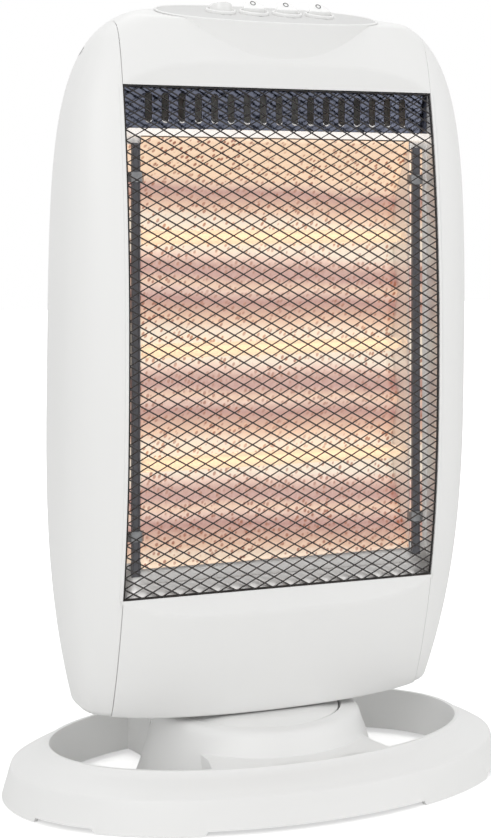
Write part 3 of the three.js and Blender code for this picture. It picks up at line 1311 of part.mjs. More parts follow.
place('stand', stand(), WHITE_PLASTIC);
place('hub_bottom_cover', hubCover(), WHITE_PLASTIC);
place('turntable', turntable(), WHITE_PLASTIC);
place('thrust_washer', thrustWasher(), GREY_PLASTIC);
place('pivot_retainer', pivotRetainer(), SHEET_STEEL);
place('swing_fork', swingFork(), GREY_PLASTIC);
place('swing_crank', crank(), BLACK_PLASTIC);
place('swing_motor', swingMotor(), SHEET_STEEL);

place('head_floor_plate', headFloorPlate(), WHITE_PLASTIC);
place('left_side_shell', sideShell(-1), WHITE_PLASTIC);
place('right_side_shell', sideShell(1), WHITE_PLASTIC);
place('top_cover', topCover(), WHITE_PLASTIC);
place('front_bottom_panel', frontBottomPanel(), WHITE_PLASTIC);
place('rear_cover', rearCover(), WHITE_PLASTIC);
place('cable_gland', cableGland(), BLACK_PLASTIC);
place('front_grille', frontGrille(), NET_METAL);

place('reflector', reflector(), REFLECTOR_METAL);
place('heat_shield', heatShield(), SHEET_STEEL);
place('louvre_strip', louvreStrip(), DARK_CHROME);
place('upper_shelf', upperShelf(), WHITE_ENAMEL);
for (let i = 0; i < TUBE_COUNT; i += 1) {
  place(`halogen_tube_${i + 1}`, halogenTube(i), QUARTZ);
}

const sides = [['left', -1], ['right', 1]];
sides.forEach(([word, side]) => {
  place(`${word}_side_strip`, sideStrip(side), DARK_CHROME);
  place(`${word}_tube_bracket`, tubeBracket(side), SHEET_STEEL);
  for (let i = 0; i < TUBE_COUNT; i += 1) {
    place(`${word}_tube_cap_${i + 1}`, tubeCap(side, i), CERAMIC);
  }
  const shoulder = inFrame(screw(-SCREW_SINK, SCREW_LENGTH - SCREW_HEAD_HEIGHT), shoulderScrewFrame(side));
  place(`${word}_shoulder_screw`, shoulder, SCREW_STEEL);
  REAR_SCREW_HEIGHTS.forEach((z, row) => {
    const x = side * REAR_SCREW_X;
    const seat = rearY(x, z) - REAR_SCREW_RECESS + FIT;
    const length = seat - REAR_SEAM_DEPTH + 14;
    const body = screw(SCREW_HEAD_HEIGHT, length).rotate([-90, 0, 0]).translate([x, seat, z]);
    place(`rear_screw_${word}_${row + 1}`, body, SCREW_STEEL);
  });
});

place('thermal_cutout', thermalCutout(), GREY_PLASTIC);
place('tilt_switch', tiltSwitch(), BLACK_PLASTIC);
place('terminal_block', terminalBlock(), GREY_PLASTIC);

const pod = new THREE.Group();
pod.applyMatrix4(podFrame);
heater.add(pod);
place('control_plate', controlPlate(), WHITE_PLASTIC, pod);
for (let i = 0; i < SWITCH_COUNT; i += 1) {
  const bay = new THREE.Group();
  bay.position.set(FIRST_SWITCH_X + i * SWITCH_PITCH, SWITCH_ROW_OFFSET, 0);
  pod.add(bay);
  place(`switch_body_${i + 1}`, switchBody(), WHITE_PLASTIC, bay);
  const key = place(`rocker_${i + 1}`, rocker(), WHITE_PLASTIC, bay);
  key.position.z = ROCKER_PIVOT_HEIGHT;
  key.rotation.x = rockerUp(i) * THREE.MathUtils.degToRad(ROCKER_TILT);
}

export default heater;
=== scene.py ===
# %% [markdown]
# # A halogen tower heater, dressed for a product photograph
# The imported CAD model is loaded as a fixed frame. Smooth surfaces, worked out with numpy, then stand
# in for its faceted solids: a white head on a swinging foot, a diamond net, and behind the net three
# glowing quartz tubes in a hammered reflector. Lengths are written in millimetres, as on a drawing,
# and turned into metres once, when a mesh is made.

# %% Load the frame and keep its box
import json

import bpy
import numpy as np
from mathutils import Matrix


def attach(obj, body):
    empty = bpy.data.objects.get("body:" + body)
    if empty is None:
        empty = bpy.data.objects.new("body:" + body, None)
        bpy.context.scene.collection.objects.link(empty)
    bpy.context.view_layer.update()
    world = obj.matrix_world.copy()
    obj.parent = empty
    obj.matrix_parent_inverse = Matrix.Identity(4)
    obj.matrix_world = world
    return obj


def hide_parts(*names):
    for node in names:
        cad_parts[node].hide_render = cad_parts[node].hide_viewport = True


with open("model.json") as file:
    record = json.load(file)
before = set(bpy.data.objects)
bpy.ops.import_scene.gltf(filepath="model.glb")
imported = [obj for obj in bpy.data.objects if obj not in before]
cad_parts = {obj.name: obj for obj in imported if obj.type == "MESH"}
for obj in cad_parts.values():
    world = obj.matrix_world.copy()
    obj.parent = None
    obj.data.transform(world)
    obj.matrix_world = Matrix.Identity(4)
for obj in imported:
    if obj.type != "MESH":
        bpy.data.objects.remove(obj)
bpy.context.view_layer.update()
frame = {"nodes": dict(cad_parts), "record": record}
nodes = frame["nodes"]

# %% [markdown]
# ## Small tools
# A part is an array of points, its faces and the number of its material. Parts are closed skins over
# rings of points, or open grids, and one function puts them into a mesh.

# %% Mesh helpers
MM = 0.001
SIDES = ((-1, "left"), (1, "right"))


def put(name, data):
    """A new object with this data, linked to the scene."""
    made = bpy.data.objects.new(name, data)
    bpy.context.scene.collection.objects.link(made)
    return made


def mesh_of(name, parts):
    """A mesh from parts, each of points in mm, faces and a material number."""
    points = np.concatenate([p.reshape(-1, 3) for p, _, _ in parts]) * MM
    faces, numbers, start = [], [], 0
    for p, some, number in parts:
        faces += [tuple(int(i) + start for i in face) for face in some]
        numbers += [number] * len(some)
        start += p.size // 3
    mesh = bpy.data.meshes.new(name)
    mesh.from_pydata(points.tolist(), [], faces)
    mesh.polygons.foreach_set("material_index", numbers)
    return mesh


def mesh_piece(name, parts, finishes, body, stands_for=(), sharp=0):
    """A smooth piece that rides a body and stands for CAD nodes. Its edges that turn by
    more than `sharp` degrees stay crisp."""
    mesh = mesh_of(name, parts)
    mesh.polygons.foreach_set("use_smooth", [True] * len(mesh.polygons))
    for finish in finishes:
        mesh.materials.append(finish)
    mesh.validate()
    if sharp:
        mesh.set_sharp_from_angle(angle=np.radians(sharp))
    piece = put(name, mesh)
    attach(piece, body)
    if stands_for:
        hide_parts(*stands_for)
    return piece


def surface(x, y, z):
    """Points from three arrays that together span a grid or a ring."""
    return np.stack(np.broadcast_arrays(x, y, z), axis=-1)


def raised(outline, z):
    """A plane outline set at a height."""
    return surface(outline[:, 0], outline[:, 1], z)


def grid_faces(rows, columns, closed=False):
    """Quads between neighbouring rows and columns, all turned the same way; closed joins the ends."""
    r, c = np.meshgrid(np.arange(rows - 1), np.arange(columns - (0 if closed else 1)), indexing="ij")
    right = (c + 1) % columns
    quads = [r * columns + c, r * columns + right, (r + 1) * columns + right, (r + 1) * columns + c]
    return np.stack(quads, axis=-1).reshape(-1, 4)


def grid_part(points, number=0, flip=False):
    """An open skin over a grid of points; flip turns its faces over."""
    faces = grid_faces(*points.shape[:2])
    return points, (faces[:, ::-1] if flip else faces).tolist(), number


def outward(points, faces):
    """The faces of a closed part, turned round if its signed volume is negative."""
    p = points - points.mean(axis=0)
    total = 0.0
    for size in {len(face) for face in faces}:
        some = np.array([face for face in faces if len(face) == size])
        for k in range(1, size - 1):
            a, b, c = p[some[:, 0]], p[some[:, k]], p[some[:, k + 1]]
            total += np.einsum("ij,ij->i", a, np.cross(b, c)).sum()
    return [face[::-1] for face in faces] if total < 0 else faces


def tube_part(rings, number=0, closed_path=False):
    """A closed skin over rings of equally many points, with a face on each end of an open path."""
    rings = np.asarray(rings, float)
    rows, columns = rings.shape[:2]
    faces = (grid_faces(rows + closed_path, columns, closed=True) % (rows * columns)).tolist()
    if not closed_path:
        faces.append(list(range(columns))[::-1])
        faces.append([(rows - 1) * columns + i for i in range(columns)])
    points = rings.reshape(-1, 3)
    return points, outward(points, faces), number


def circle(count, radius=1.0):
    """Points round a circle: radius * (cos, sin)."""
    angle = np.linspace(0, 2 * np.pi, count, endpoint=False)
    return radius * np.column_stack([np.cos(angle), np.sin(angle)])


def oval(count, half_x, half_y, power=2.3):
    """Points round a superellipse: half * sign(cos) * |cos| ** (2 / power), and the same with sin."""
    unit = circle(count)
    return np.array([half_x, half_y]) * np.sign(unit) * np.abs(unit) ** (2 / power)


def lathe_part(profile, count=64, place=lambda p: p):
    """A solid of revolution about Z: the closed [radius, z] profile turned round a full circle."""
    r, z = np.asarray(profile, float).T
    c, s = circle(count).T[..., None]
    return tube_part(place(surface(r * c, r * s, z)), closed_path=True)


def rounded(profile, radius=0.5, steps=3):
    """A closed 2-D outline with its corners rounded: each corner becomes a short quadratic curve."""
    p = np.asarray(profile, float)
    t = np.linspace(0, 1, steps + 1)[None, :, None]

    def towards(other):
        way = other - p
        length = np.maximum(np.linalg.norm(way, axis=1, keepdims=True), 1e-9)
        return (p + way / length * np.minimum(radius, length * 0.45))[:, None]

    a, b = towards(np.roll(p, 1, axis=0)), towards(np.roll(p, -1, axis=0))
    return ((1 - t) ** 2 * a + 2 * t * (1 - t) * p[:, None] + t**2 * b).reshape(-1, 2)


def heading(path):
    """Unit direction of a path at each of its points."""
    way = np.gradient(path, axis=0)
    return way / np.linalg.norm(way, axis=1, keepdims=True)


# %% [markdown]
# Colours are written as sRGB hex, the way a colour picker gives them, but a renderer adds light, so
# they are turned linear once. One function adds a node to a material with its settings and links.

# %% Colour and node helpers


def linear(code):
    """sRGB hex as linear RGBA: c / 12.92 below 0.04045, else ((c + 0.055) / 1.055) ** 2.4."""
    srgb = np.array([int(code[i : i + 2], 16) for i in (1, 3, 5)]) / 255
    low, high = srgb / 12.92, ((srgb + 0.055) / 1.055) ** 2.4
    return (*np.where(srgb <= 0.04045, low, high), 1.0)


def wire(node, inputs):
    """Sets or links each input, by name or number; a node given as a value lends its first output."""
    for key, value in inputs.items():
        if isinstance(value, bpy.types.Node):
            value = value.outputs[0]
        if isinstance(value, bpy.types.NodeSocket):
            node.id_data.links.new(value, node.inputs[key])
        else:
            node.inputs[key].default_value = value


def add(tree, kind, inputs=None, **properties):
    """Adds a node of this kind, with its properties, values and links."""
    node = tree.nodes.new(kind)
    for key, value in properties.items():
        setattr(node, key, value)
    wire(node, inputs or {})
    return node


def material(name, code, roughness, metallic=0.0, ior=1.5):
    """A named Principled material with its tree, its shader and its Object coordinates."""
    made = bpy.data.materials.new(name)
    made.use_nodes = True
    tree = made.node_tree
    tree.nodes.clear()
    sockets = {"Base Color": linear(code), "Roughness": roughness, "Metallic": metallic, "IOR": ior}
    shader = add(tree, "ShaderNodeBsdfPrincipled", sockets)
    add(tree, "ShaderNodeOutputMaterial", {"Surface": shader})
    place = add(tree, "ShaderNodeTexCoord").outputs["Object"]
    return made, tree, shader, place


# %% [markdown]
# ## Camera
# The photograph was taken from the heater's left front, level, from about 1.3 m away and 0.4 m above
# the table. Position, turn and focal length come from points that were recognised in it. The
# horizon lies high in the frame, which a shift of the lens gives without tilting the camera.

# %% Camera at the photograph's place
CAMERA_AT = (-0.4688, -1.1471, 0.3997)
CAMERA_AZIMUTH = 22.16
FOCAL_PIXELS = 1723.3
FRAME_WIDTH, FRAME_HEIGHT = 491, 840
OPTICAL_AXIS = (255.5, 216.1)
SENSOR = 36.0

camera_data = bpy.data.cameras.new("camera")
camera_data.sensor_width = SENSOR
camera_data.lens = FOCAL_PIXELS * SENSOR / FRAME_HEIGHT
camera_data.shift_x = (FRAME_WIDTH / 2 - OPTICAL_AXIS[0]) / FRAME_HEIGHT
camera_data.shift_y = (OPTICAL_AXIS[1] - FRAME_HEIGHT / 2) / FRAME_HEIGHT
camera_data.clip_start = 0.05
camera = put("camera", camera_data)
camera.location = CAMERA_AT
camera.rotation_euler = (np.pi / 2, 0, -np.radians(CAMERA_AZIMUTH))
bpy.context.scene.camera = camera
bpy.context.scene.view_settings.view_transform = "Standard"
print("lens, mm:", round(camera_data.lens, 2))

# %% [markdown]
# ## Light and floor
# A white object on white is lit from all round, a little more from the front left and from above, so
# that its forms still turn. The world is white to the camera and to reflections, and gentler to
# matt surfaces. The floor takes the heater's soft shadow and brightens only for the camera.

# %% World and lamps
WORLD_LIGHT, WORLD_IN_GLOSS = 0.63, 0.92
LAMPS_FACE = np.array([0, 0, 0.28])

world = bpy.data.worlds.new("studio")
world.use_nodes = True
bpy.context.scene.world = world
tree = world.node_tree
tree.nodes.clear()
path = add(tree, "ShaderNodeLightPath").outputs
straight = add(tree, "ShaderNodeMath", {0: path["Is Camera Ray"], 1: path["Is Transmission Ray"]}, operation="MAXIMUM")
glossy = add(tree, "ShaderNodeMath", {0: path["Is Glossy Ray"], 1: WORLD_IN_GLOSS}, operation="MULTIPLY")
bright = add(tree, "ShaderNodeMath", {0: straight, 1: glossy}, operation="MAXIMUM")
strength = add(tree, "ShaderNodeMapRange", {"Value": bright, "To Min": WORLD_LIGHT})
sky = add(tree, "ShaderNodeBackground", {"Color": (1, 1, 1, 1), "Strength": strength})
add(tree, "ShaderNodeOutputWorld", {"Surface": sky})

# each lamp: name, place in metres, size in metres, watts
for name, at, size, watts in (("key_front_left", (-1.5, -1.9, 1.3), 1.4, 13),
                              ("fill_front_right", (1.7, -1.5, 1.0), 1.6, 6), ("top", (0.0, 0.2, 2.3), 1.8, 11.5)):
    data = bpy.data.lights.new(name, "AREA")
    data.size, data.energy = size, watts
    lamp = put(name, data)
    lamp.location = at
    way = LAMPS_FACE - at
    pitch = np.arccos(-way[2] / np.linalg.norm(way))
    lamp.rotation_euler = (pitch, 0, np.arctan2(-way[0], way[1]))
print("lamps:", len(bpy.data.lights))

# %% Floor
FLOOR_LIFT = 0.55

floor_paint, tree, shader, place = material("pale_studio_floor", "#F4F4F3", 0.6)
away = add(tree, "ShaderNodeVectorMath", {0: place}, operation="LENGTH").outputs["Value"]
far = add(tree, "ShaderNodeMapRange", {"Value": away, "From Min": 0.35, "From Max": 1.1, "To Min": FLOOR_LIFT})
seen = add(tree, "ShaderNodeLightPath").outputs["Is Camera Ray"]
lift = add(tree, "ShaderNodeMath", {0: seen, 1: far}, operation="MULTIPLY")
wire(shader, {"Emission Color": (1, 1, 1, 1), "Emission Strength": lift})
span = np.linspace(-6000, 6000, 13)
floor_mesh = mesh_of("floor", [grid_part(surface(span[:, None], span, -0.6))])
floor_mesh.materials.append(floor_paint)
floor = put("floor", floor_mesh)

# %% [markdown]
# ## Materials
# Each finish is named for what it is. The housing is injection-moulded white ABS, satin, with the
# faint grain of an etched mould. The net is expanded steel in black heat-proof paint. The reflector
# is aluminium sheet rolled between patterned rollers, which gives it its small hammered dents.

# %% White moulded ABS and nylon
GRAIN_MM = 0.9
DULLER = 0.975


def moulded(name, code, roughness, grain=0.012):
    """Plastic from an etched mould: a fine grain in the bump and a slow change in gloss and tint."""
    made, tree, shader, place = material(name, code, roughness, ior=1.54)
    fine = add(tree, "ShaderNodeTexNoise", {"Vector": place, "Scale": 1000 / GRAIN_MM, "Detail": 2.0})
    slow = add(tree, "ShaderNodeTexNoise", {"Vector": place, "Scale": 9.0, "Detail": 3.0})
    gloss = add(tree, "ShaderNodeMapRange", {"Value": slow, "To Min": roughness - 0.05, "To Max": roughness + 0.05})
    pale = linear(code)
    dull = (*(DULLER * c for c in pale[:3]), 1)
    tint = add(tree, "ShaderNodeMixRGB", {"Fac": slow, "Color1": dull, "Color2": pale})
    bump = add(tree, "ShaderNodeBump", {"Height": fine, "Strength": grain, "Distance": 0.0004})
    wire(shader, {"Roughness": gloss, "Base Color": tint, "Normal": bump})
    return made


white_abs = moulded("moulded_white_abs", "#F3F3F2", 0.42)
gloss_abs = moulded("polished_white_abs", "#F7F7F6", 0.2, grain=0.004)
plate_abs = moulded("etched_white_abs_plate", "#D9D9D8", 0.5, grain=0.03)
black_nylon = moulded("moulded_black_nylon", "#232325", 0.5)
grey_nylon = moulded("moulded_grey_nylon", "#8B8D8F", 0.55)

# %% [markdown]
# Paints, inks and enamels are thin coats whose tint wanders a little. Two shades mixed by a noise
# give that, with the noise scaled to the size of the specks. The ink is the print on the rockers.
# The same mix, near black, is painted shade on the top cover's inside wall: it stands for the shade
# inside the head that the louvre's slots look into.
# The net's paint is near black with a low sheen. The enamel lies close to the hot tubes, and its
# emission is painted light: it stands in for the tubes' light falling on it. A halogen tube at work is
# a bright filament in clear quartz, and the quartz lights up with a warm haze: the same two shades, but
# shining, and the filament is simply much brighter.

# %% Ink, paint, painted shade, enamel with painted glow, quartz and filament


def mottled(name, code, second, roughness, speck_mm, socket="Base Color", ior=1.5, also=None):
    """Two near shades in one socket, mixed by a noise with specks of this size in mm."""
    made, tree, shader, place = material(name, code, roughness, ior=ior)
    specks = add(tree, "ShaderNodeTexNoise", {"Vector": place, "Scale": 1000 / speck_mm, "Detail": 2.0})
    tint = add(tree, "ShaderNodeMixRGB", {"Fac": specks, "Color1": linear(code), "Color2": linear(second)})
    wire(shader, {socket: tint, **(also or {})})
    return made


ink = mottled("pad_printed_ink", "#3F4043", "#5A5B5E", 0.6, 1.2)
net_paint = mottled("black_heatproof_paint_on_expanded_steel", "#0C0909", "#1E1513", 0.42, 1.5)
strip_paint = mottled("grey_painted_strip", "#626267", "#76767C", 0.35, 6.0)
# painted shade: a near-black wall for the shade inside the head behind the louvre's slots
painted_shade_wall = mottled("painted_shade_inner_wall", "#12100E", "#1A1715", 0.7, 9.0)
ceramic = mottled("unglazed_steatite", "#D8D0C2", "#EFEAE0", 0.75, 1.3)
# painted light: the enamel's emission stands in for the light of the tubes upon it
enamel = mottled("white_enamel", "#F6F4F1", "#EFEDE9", 0.25, 8.0,
                 also={"Emission Color": linear("#FFF6EE"), "Emission Strength": 0.55})
quartz = mottled("quartz_tube_aglow", "#FFECD2", "#FFF6E6", 0.05, 1000 / 90, "Emission Color", ior=1.46,
                 also={"Emission Strength": 0.22, "Transmission Weight": 0.5})
filament = mottled("tungsten_filament_at_work", "#FFD9A8", "#FFEBD0", 0.4, 1000 / 300, "Emission Color",
                   also={"Emission Strength": 1.0})

# %% [markdown]
# The hammered reflector is bright metal that shows the tubes many times over. These reflections are
# painted: an emission whose shades run from cream at a tube to mauve between two, with a peach line
# where a reflection lies, and repeat with the pitch of the tubes. The dents are a Voronoi pattern in
# the bump, 3.3 mm apart, leaning as the rollers left them, and the same pattern puts painted shade
# into the painted reflection in short reddish strokes.

# %% Hammered reflector sheet
MIDDLE_TUBE, TUBE_PITCH = 307.0, 78.0
DENT_MM = 3.3
TILT, WAVE, BAND_SHIFT = 0.05, 0.014, 0.007
# shades of the painted reflection of the tubes, and of the painted shade in its dents
CREAM, SAND, PEACH, CLAY = "#DDD0BE", "#D3B2A3", "#DAB79D", "#C29A87"
MAUVE, HEATHER, AMBER, PAINTED_DENT_SHADE = "#AD817A", "#AC8379", "#EDCDAE", "#8F5036"
AROUND_A_TUBE = ((0.0, SAND), (0.05, PEACH), (0.14, MAUVE), (0.22, HEATHER), (0.29, SAND), (0.36, CREAM),
                 (0.64, CREAM), (0.73, PEACH), (0.82, CLAY), (0.92, MAUVE), (1.0, SAND))

hammered, tree, shader, place = material("hammered_aluminium", "#9C938C", 0.34, metallic=1.0)
apart = add(tree, "ShaderNodeSeparateXYZ", {"Vector": place}).outputs
lean = add(tree, "ShaderNodeMapping", {"Vector": place, "Rotation": (0, np.radians(32), 0), "Scale": (1, 1, 1.7)},
           vector_type="TEXTURE")
dents = add(tree, "ShaderNodeTexVoronoi", {"Vector": lean, "Scale": 1000 / DENT_MM, "Randomness": 0.7})
bump = add(tree, "ShaderNodeBump", {"Height": dents, "Strength": 0.5, "Distance": 0.001})

# where in a tube's band the point lies: height + tilt * x + a slow wave, in parts of the pitch
wave = add(tree, "ShaderNodeTexNoise", {"Vector": place, "Scale": 14.0, "Detail": 2.0})
swell = add(tree, "ShaderNodeMath", {0: wave, 1: WAVE, 2: apart["Z"]}, operation="MULTIPLY_ADD")
slope = add(tree, "ShaderNodeMath", {0: apart["X"], 1: TILT, 2: swell}, operation="MULTIPLY_ADD")
band_start = (MIDDLE_TUBE - TUBE_PITCH / 2) * MM + BAND_SHIFT
rise = add(tree, "ShaderNodeMath", {0: slope, 1: band_start}, operation="SUBTRACT")
turns = add(tree, "ShaderNodeMath", {0: rise, 1: 1 / (TUBE_PITCH * MM)}, operation="MULTIPLY")
ramp = add(tree, "ShaderNodeValToRGB", {"Fac": add(tree, "ShaderNodeMath", {0: turns}, operation="FRACT")})
stops = ramp.color_ramp.elements
for stop, (position, code) in zip(stops, (AROUND_A_TUBE[0], AROUND_A_TUBE[-1])):
    stop.position, stop.color = position, linear(code)
for position, code in AROUND_A_TUBE[1:-1]:
    stops.new(position).color = linear(code)

# painted light: the sloping walls above the top lobe and below the bottom one are painted a brighter amber where they
# catch more light
above = add(tree, "ShaderNodeMapRange", {"Value": slope, "From Min": 0.424, "From Max": 0.436})
under = add(tree, "ShaderNodeMapRange", {"Value": slope, "From Min": 0.173, "From Max": 0.167, "To Max": 0.8})
edges = add(tree, "ShaderNodeMath", {0: above, 1: under}, operation="MAXIMUM")
banded = add(tree, "ShaderNodeMixRGB", {"Fac": edges, "Color1": ramp, "Color2": linear(AMBER)})

# painted shade, the strokes: dark where a dent is near, and deeper in some patches than in others
patches = add(tree, "ShaderNodeTexNoise", {"Vector": place, "Scale": 30.0, "Detail": 3.0})
depth = add(tree, "ShaderNodeMapRange", {"Value": patches, "From Min": 0.32, "From Max": 0.6, "To Min": 0.45})
stroke = add(tree, "ShaderNodeMapRange",
             {"Value": dents, "From Min": 0.24, "From Max": 0.37, "To Min": depth, "To Max": 0.0})
# painted shade: the dents darken the painted reflection towards a reddish brown
painted_reflection = add(tree, "ShaderNodeMixRGB", {"Fac": stroke, "Color1": banded, "Color2": linear(PAINTED_DENT_SHADE)})
# the sheet's emission is the painted reflection of the tubes
wire(shader, {"Normal": bump, "Emission Color": painted_reflection, "Emission Strength": 1.0})

# %% [markdown]
# The flanges round the reflector are the same aluminium without the dents, satin rather than
# bright. The louvre strip is steel with a dark blued finish, and the hidden brackets are
# galvanised. Rolling leaves fine drawn lines, which a noise stretched along one axis gives.

# %% Sheet metals


def rolled(name, code, roughness, along=(1.0, 1.0, 30.0), depth=0.06, metallic=1.0):
    """Sheet metal with drawn lines: a stretched noise in the gloss and, faintly, in the bump."""
    made, tree, shader, place = material(name, code, roughness, metallic=metallic)
    stretch = add(tree, "ShaderNodeMapping", {"Vector": place, "Scale": along})
    lines = add(tree, "ShaderNodeTexNoise", {"Vector": stretch, "Scale": 60.0, "Detail": 3.0})
    gloss = add(tree, "ShaderNodeMapRange", {"Value": lines, "To Min": roughness - 0.06, "To Max": roughness + 0.08})
    bump = add(tree, "ShaderNodeBump", {"Height": lines, "Strength": depth, "Distance": 0.0002})
    wire(shader, {"Roughness": gloss, "Normal": bump})
    return made


flange_metal = rolled("satin_rolled_aluminium", "#F4F2F0", 0.45, metallic=0.55)
zinc_steel = rolled("galvanised_steel", "#A3A4A6", 0.38, along=(4.0, 4.0, 4.0))
screw_zinc = rolled("zinc_plated_screw_steel", "#B9B9BC", 0.3, along=(6.0, 6.0, 6.0))
blued_steel = rolled("blued_steel_strip", "#6C707F", 0.13, along=(5.0, 5.0, 5.0), depth=0.9)
bright_rim = rolled("burnished_slot_rim", "#F4F4F4", 0.12, along=(3.0, 3.0, 3.0))
print("materials:", len(bpy.data.materials))

# %% [markdown]
# ## The form of the head
# The head is one closed form that the seams cut into panels. At each height it has a half width, a
# depth in front and behind, and a girth line where it is widest. In front of that line the plan is a
# blunt superellipse, behind it a rounder one. These are the formulas of the CAD model, as arrays.

# %% Formulas of the head
FOOT, FOOT_TOP, HEAD_TOP, APEX = 57.0, 62.0, 546.5, 548.0
WAIST, FRONT_CREST, REAR_CREST = 280.0, 312.0, 200.0
HALF_WIDTH = 152.0
SEAM_X, GAP = 116.0, 0.15
SKIN_EDGE = SEAM_X + GAP
OPEN_LOW, OPEN_TOP = 142.0, 488.0
REAR_SEAM = 20.0
FRONT_POWER, REAR_POWER = 4.0, 2.6
QUARTER = np.linspace(0, np.pi / 2, 7)
FOOT_HEIGHTS = FOOT + 5 * (1 - np.cos(QUARTER))


def head_at(z):
    """Half width, front depth, rear depth and girth line at height z: powers of the distance from
    the waist, the front crest and the rear crest, less a rounded foot."""
    z = np.asarray(z, float)
    below = np.clip((WAIST - z) / (WAIST - FOOT), 0, None)
    above = np.clip((z - WAIST) / (APEX - WAIST), 0, 1)
    low = np.clip((FRONT_CREST - z) / (FRONT_CREST - FOOT), 0, None)
    high = np.clip((z - FRONT_CREST) / (APEX - FRONT_CREST), 0, None)
    back_low = np.clip((REAR_CREST - z) / (REAR_CREST - FOOT), 0, None)
    back_high = np.clip((z - REAR_CREST) / (APEX - REAR_CREST), 0, None)
    tuck = 5 * (1 - np.sqrt(1 - np.clip((FOOT_TOP - z) / 5, 0, 1) ** 2))
    half = (HALF_WIDTH - 21 * below**2.8) * (1 - above**5.2) ** 0.2 - tuck
    front = 66 - 37 * low**2.7 - 27 * high**2 - tuck
    rear = 80 - 6 * back_low**2 - 62 * back_high**3.2 - tuck
    return half, front, rear, 3 - 0.05 * (z - 250)


def crown_at(x):
    """Height at which the head ends over x: the half width's formula turned round."""
    return WAIST + (APEX - WAIST) * (1 - np.clip(np.abs(x) / HALF_WIDTH, 0, 1) ** 5) ** (1 / 5.2)


def bow(x, half, power):
    """(1 - |x / half| ** power) ** (1 / power), the plan's share of the depth."""
    return np.clip(1 - np.clip(np.abs(x) / half, 0, 1) ** power, 0, 1) ** (1 / power)


def front_y(x, z):
    """The front skin: girth - (front + girth) * bow."""
    half, front, _, girth = head_at(z)
    return girth - (front + girth) * bow(x, half, FRONT_POWER)


def rear_y(x, z):
    """The rear skin: girth + (rear - girth) * bow."""
    half, _, rear, girth = head_at(z)
    return girth + (rear - girth) * bow(x, half, REAR_POWER)


def walled(piece, thickness):
    """Gives a skin its wall, inwards."""
    wall = piece.modifiers.new("wall", "SOLIDIFY")
    wall.thickness = thickness * MM
    wall.offset = -1
    return wall


def edged(piece, width, degrees, harden):
    """Puts a small round on every edge that turns by more than this angle."""
    edge = piece.modifiers.new("edge", "BEVEL")
    edge.width = width * MM
    edge.segments = 2
    edge.limit_method = "ANGLE"
    edge.angle_limit = np.radians(degrees)
    edge.harden_normals = harden


def shell_piece(name, parts, finishes=(white_abs,), thickness=2.2):
    """A moulded panel of the head, which stands for the CAD node of its name."""
    piece = mesh_piece(f"{name}_smooth", parts, finishes, "head", [name])
    wall = walled(piece, thickness)
    wall.material_offset = len(finishes) - 1
    edged(piece, 0.35, 35, harden=True)
    return piece


# %% [markdown]
# ## Side shells
# Each side shell runs from the front seam round the flank to the rear seam. A plan angle does this
# well: at each height the angle starts where the skin crosses the front seam and ends at the rear
# one, so that the seams come out as clean lines. Beside the opening a straight wall turns in.

# %% Side shells
REVEAL_BACK = -38.0


def side_skin(side, rows=90, columns=56):
    """A grid over height and plan angle, clipped at the front seam, the rear seam and the top."""
    crown = crown_at(SKIN_EDGE) - 0.02
    s = np.linspace(0, 1, rows)
    rise = FOOT_TOP + (crown - FOOT_TOP) * (1 - (1 - s[1:]) ** 1.8)
    z = np.concatenate([FOOT_HEIGHTS, rise])[:, None]
    half, front, rear, girth = head_at(z)
    start = -np.arccos(np.clip((SKIN_EDGE / half) ** (FRONT_POWER / 2), 0, 1))
    by_depth = np.arcsin(np.clip((REAR_SEAM - GAP - girth) / (rear - girth), 0, 1) ** (REAR_POWER / 2))
    by_width = np.arccos(np.clip((SKIN_EDGE / half) ** (REAR_POWER / 2), 0, 1))
    angle = start + (np.minimum(by_depth, by_width) - start) * np.linspace(0, 1, columns)
    c, sn = np.cos(angle), np.sin(angle)
    power = np.where(sn < 0, FRONT_POWER, REAR_POWER)
    reach = np.where(sn < 0, front + girth, rear - girth)
    x = half * np.abs(c) ** (2 / power)
    y = girth + reach * np.sign(sn) * np.abs(sn) ** (2 / power)
    return surface(side * x, y, z)


def reveal_wall(side, rows=60):
    """The wall beside the opening: straight across from the skin's edge back to the frame plane."""
    z = np.linspace(OPEN_LOW, OPEN_TOP, rows)[:, None]
    edge = front_y(SKIN_EDGE, z) + 0.35
    y = edge + (REVEAL_BACK - edge) * np.linspace(0, 1, 6)
    return surface(side * SKIN_EDGE, y, z)


for side, word in SIDES:
    shell_piece(f"{word}_side_shell",
                [grid_part(side_skin(side), flip=side < 0), grid_part(reveal_wall(side), flip=side > 0)])
print("side shells made")

# %% [markdown]
# ## Front bottom panel and top cover
# Both panels carry a lens-shaped chamfer towards the opening: a flat cut through a bowed surface.
# Each column of the grid runs up along the skin until it meets the plane of the cut, found by
# bisection, and then follows the plane to the straight edge of the opening. The foot of the bottom
# panel hangs down in the middle, so that it all but touches the turntable.

# %% The cut plane, its meeting line and the bottom panel
LOWER_ARC, UPPER_ARC = OPEN_LOW - 15, OPEN_TOP + 17
FOOT_SAG, FOOT_ROUND = 5.2, 1.6


def cut_depth(z, edge, arc):
    """Depth of the flat cut: a straight line in the YZ plane from the edge's corner to the arc."""
    near, far = front_y(SEAM_X, edge), front_y(0, arc)
    return near + (far - near) * (z - edge) / (arc - edge)


def halving(holds, low, high, steps=40):
    """Where a test stops holding between two arrays of heights, by repeated halving."""
    for _ in range(steps):
        middle = (low + high) / 2
        good = holds(middle)
        low, high = np.where(good, middle, low), np.where(good, high, middle)
    return (low + high) / 2


def meeting_height(x, edge, arc):
    """Height at which the skin meets the cut, between the edge and a little past the arc."""
    past = np.full_like(x, arc + (arc - edge) * 0.02)
    return halving(lambda z: front_y(x, z) < cut_depth(z, edge, arc), np.full_like(x, edge), past)


def across_front(columns, share):
    """Columns between the front seams, closer together near them: x follows a sine."""
    return (SEAM_X - GAP) * np.sin(np.linspace(-1, 1, columns) * np.pi / 2 * share) / np.sin(np.pi / 2 * share)


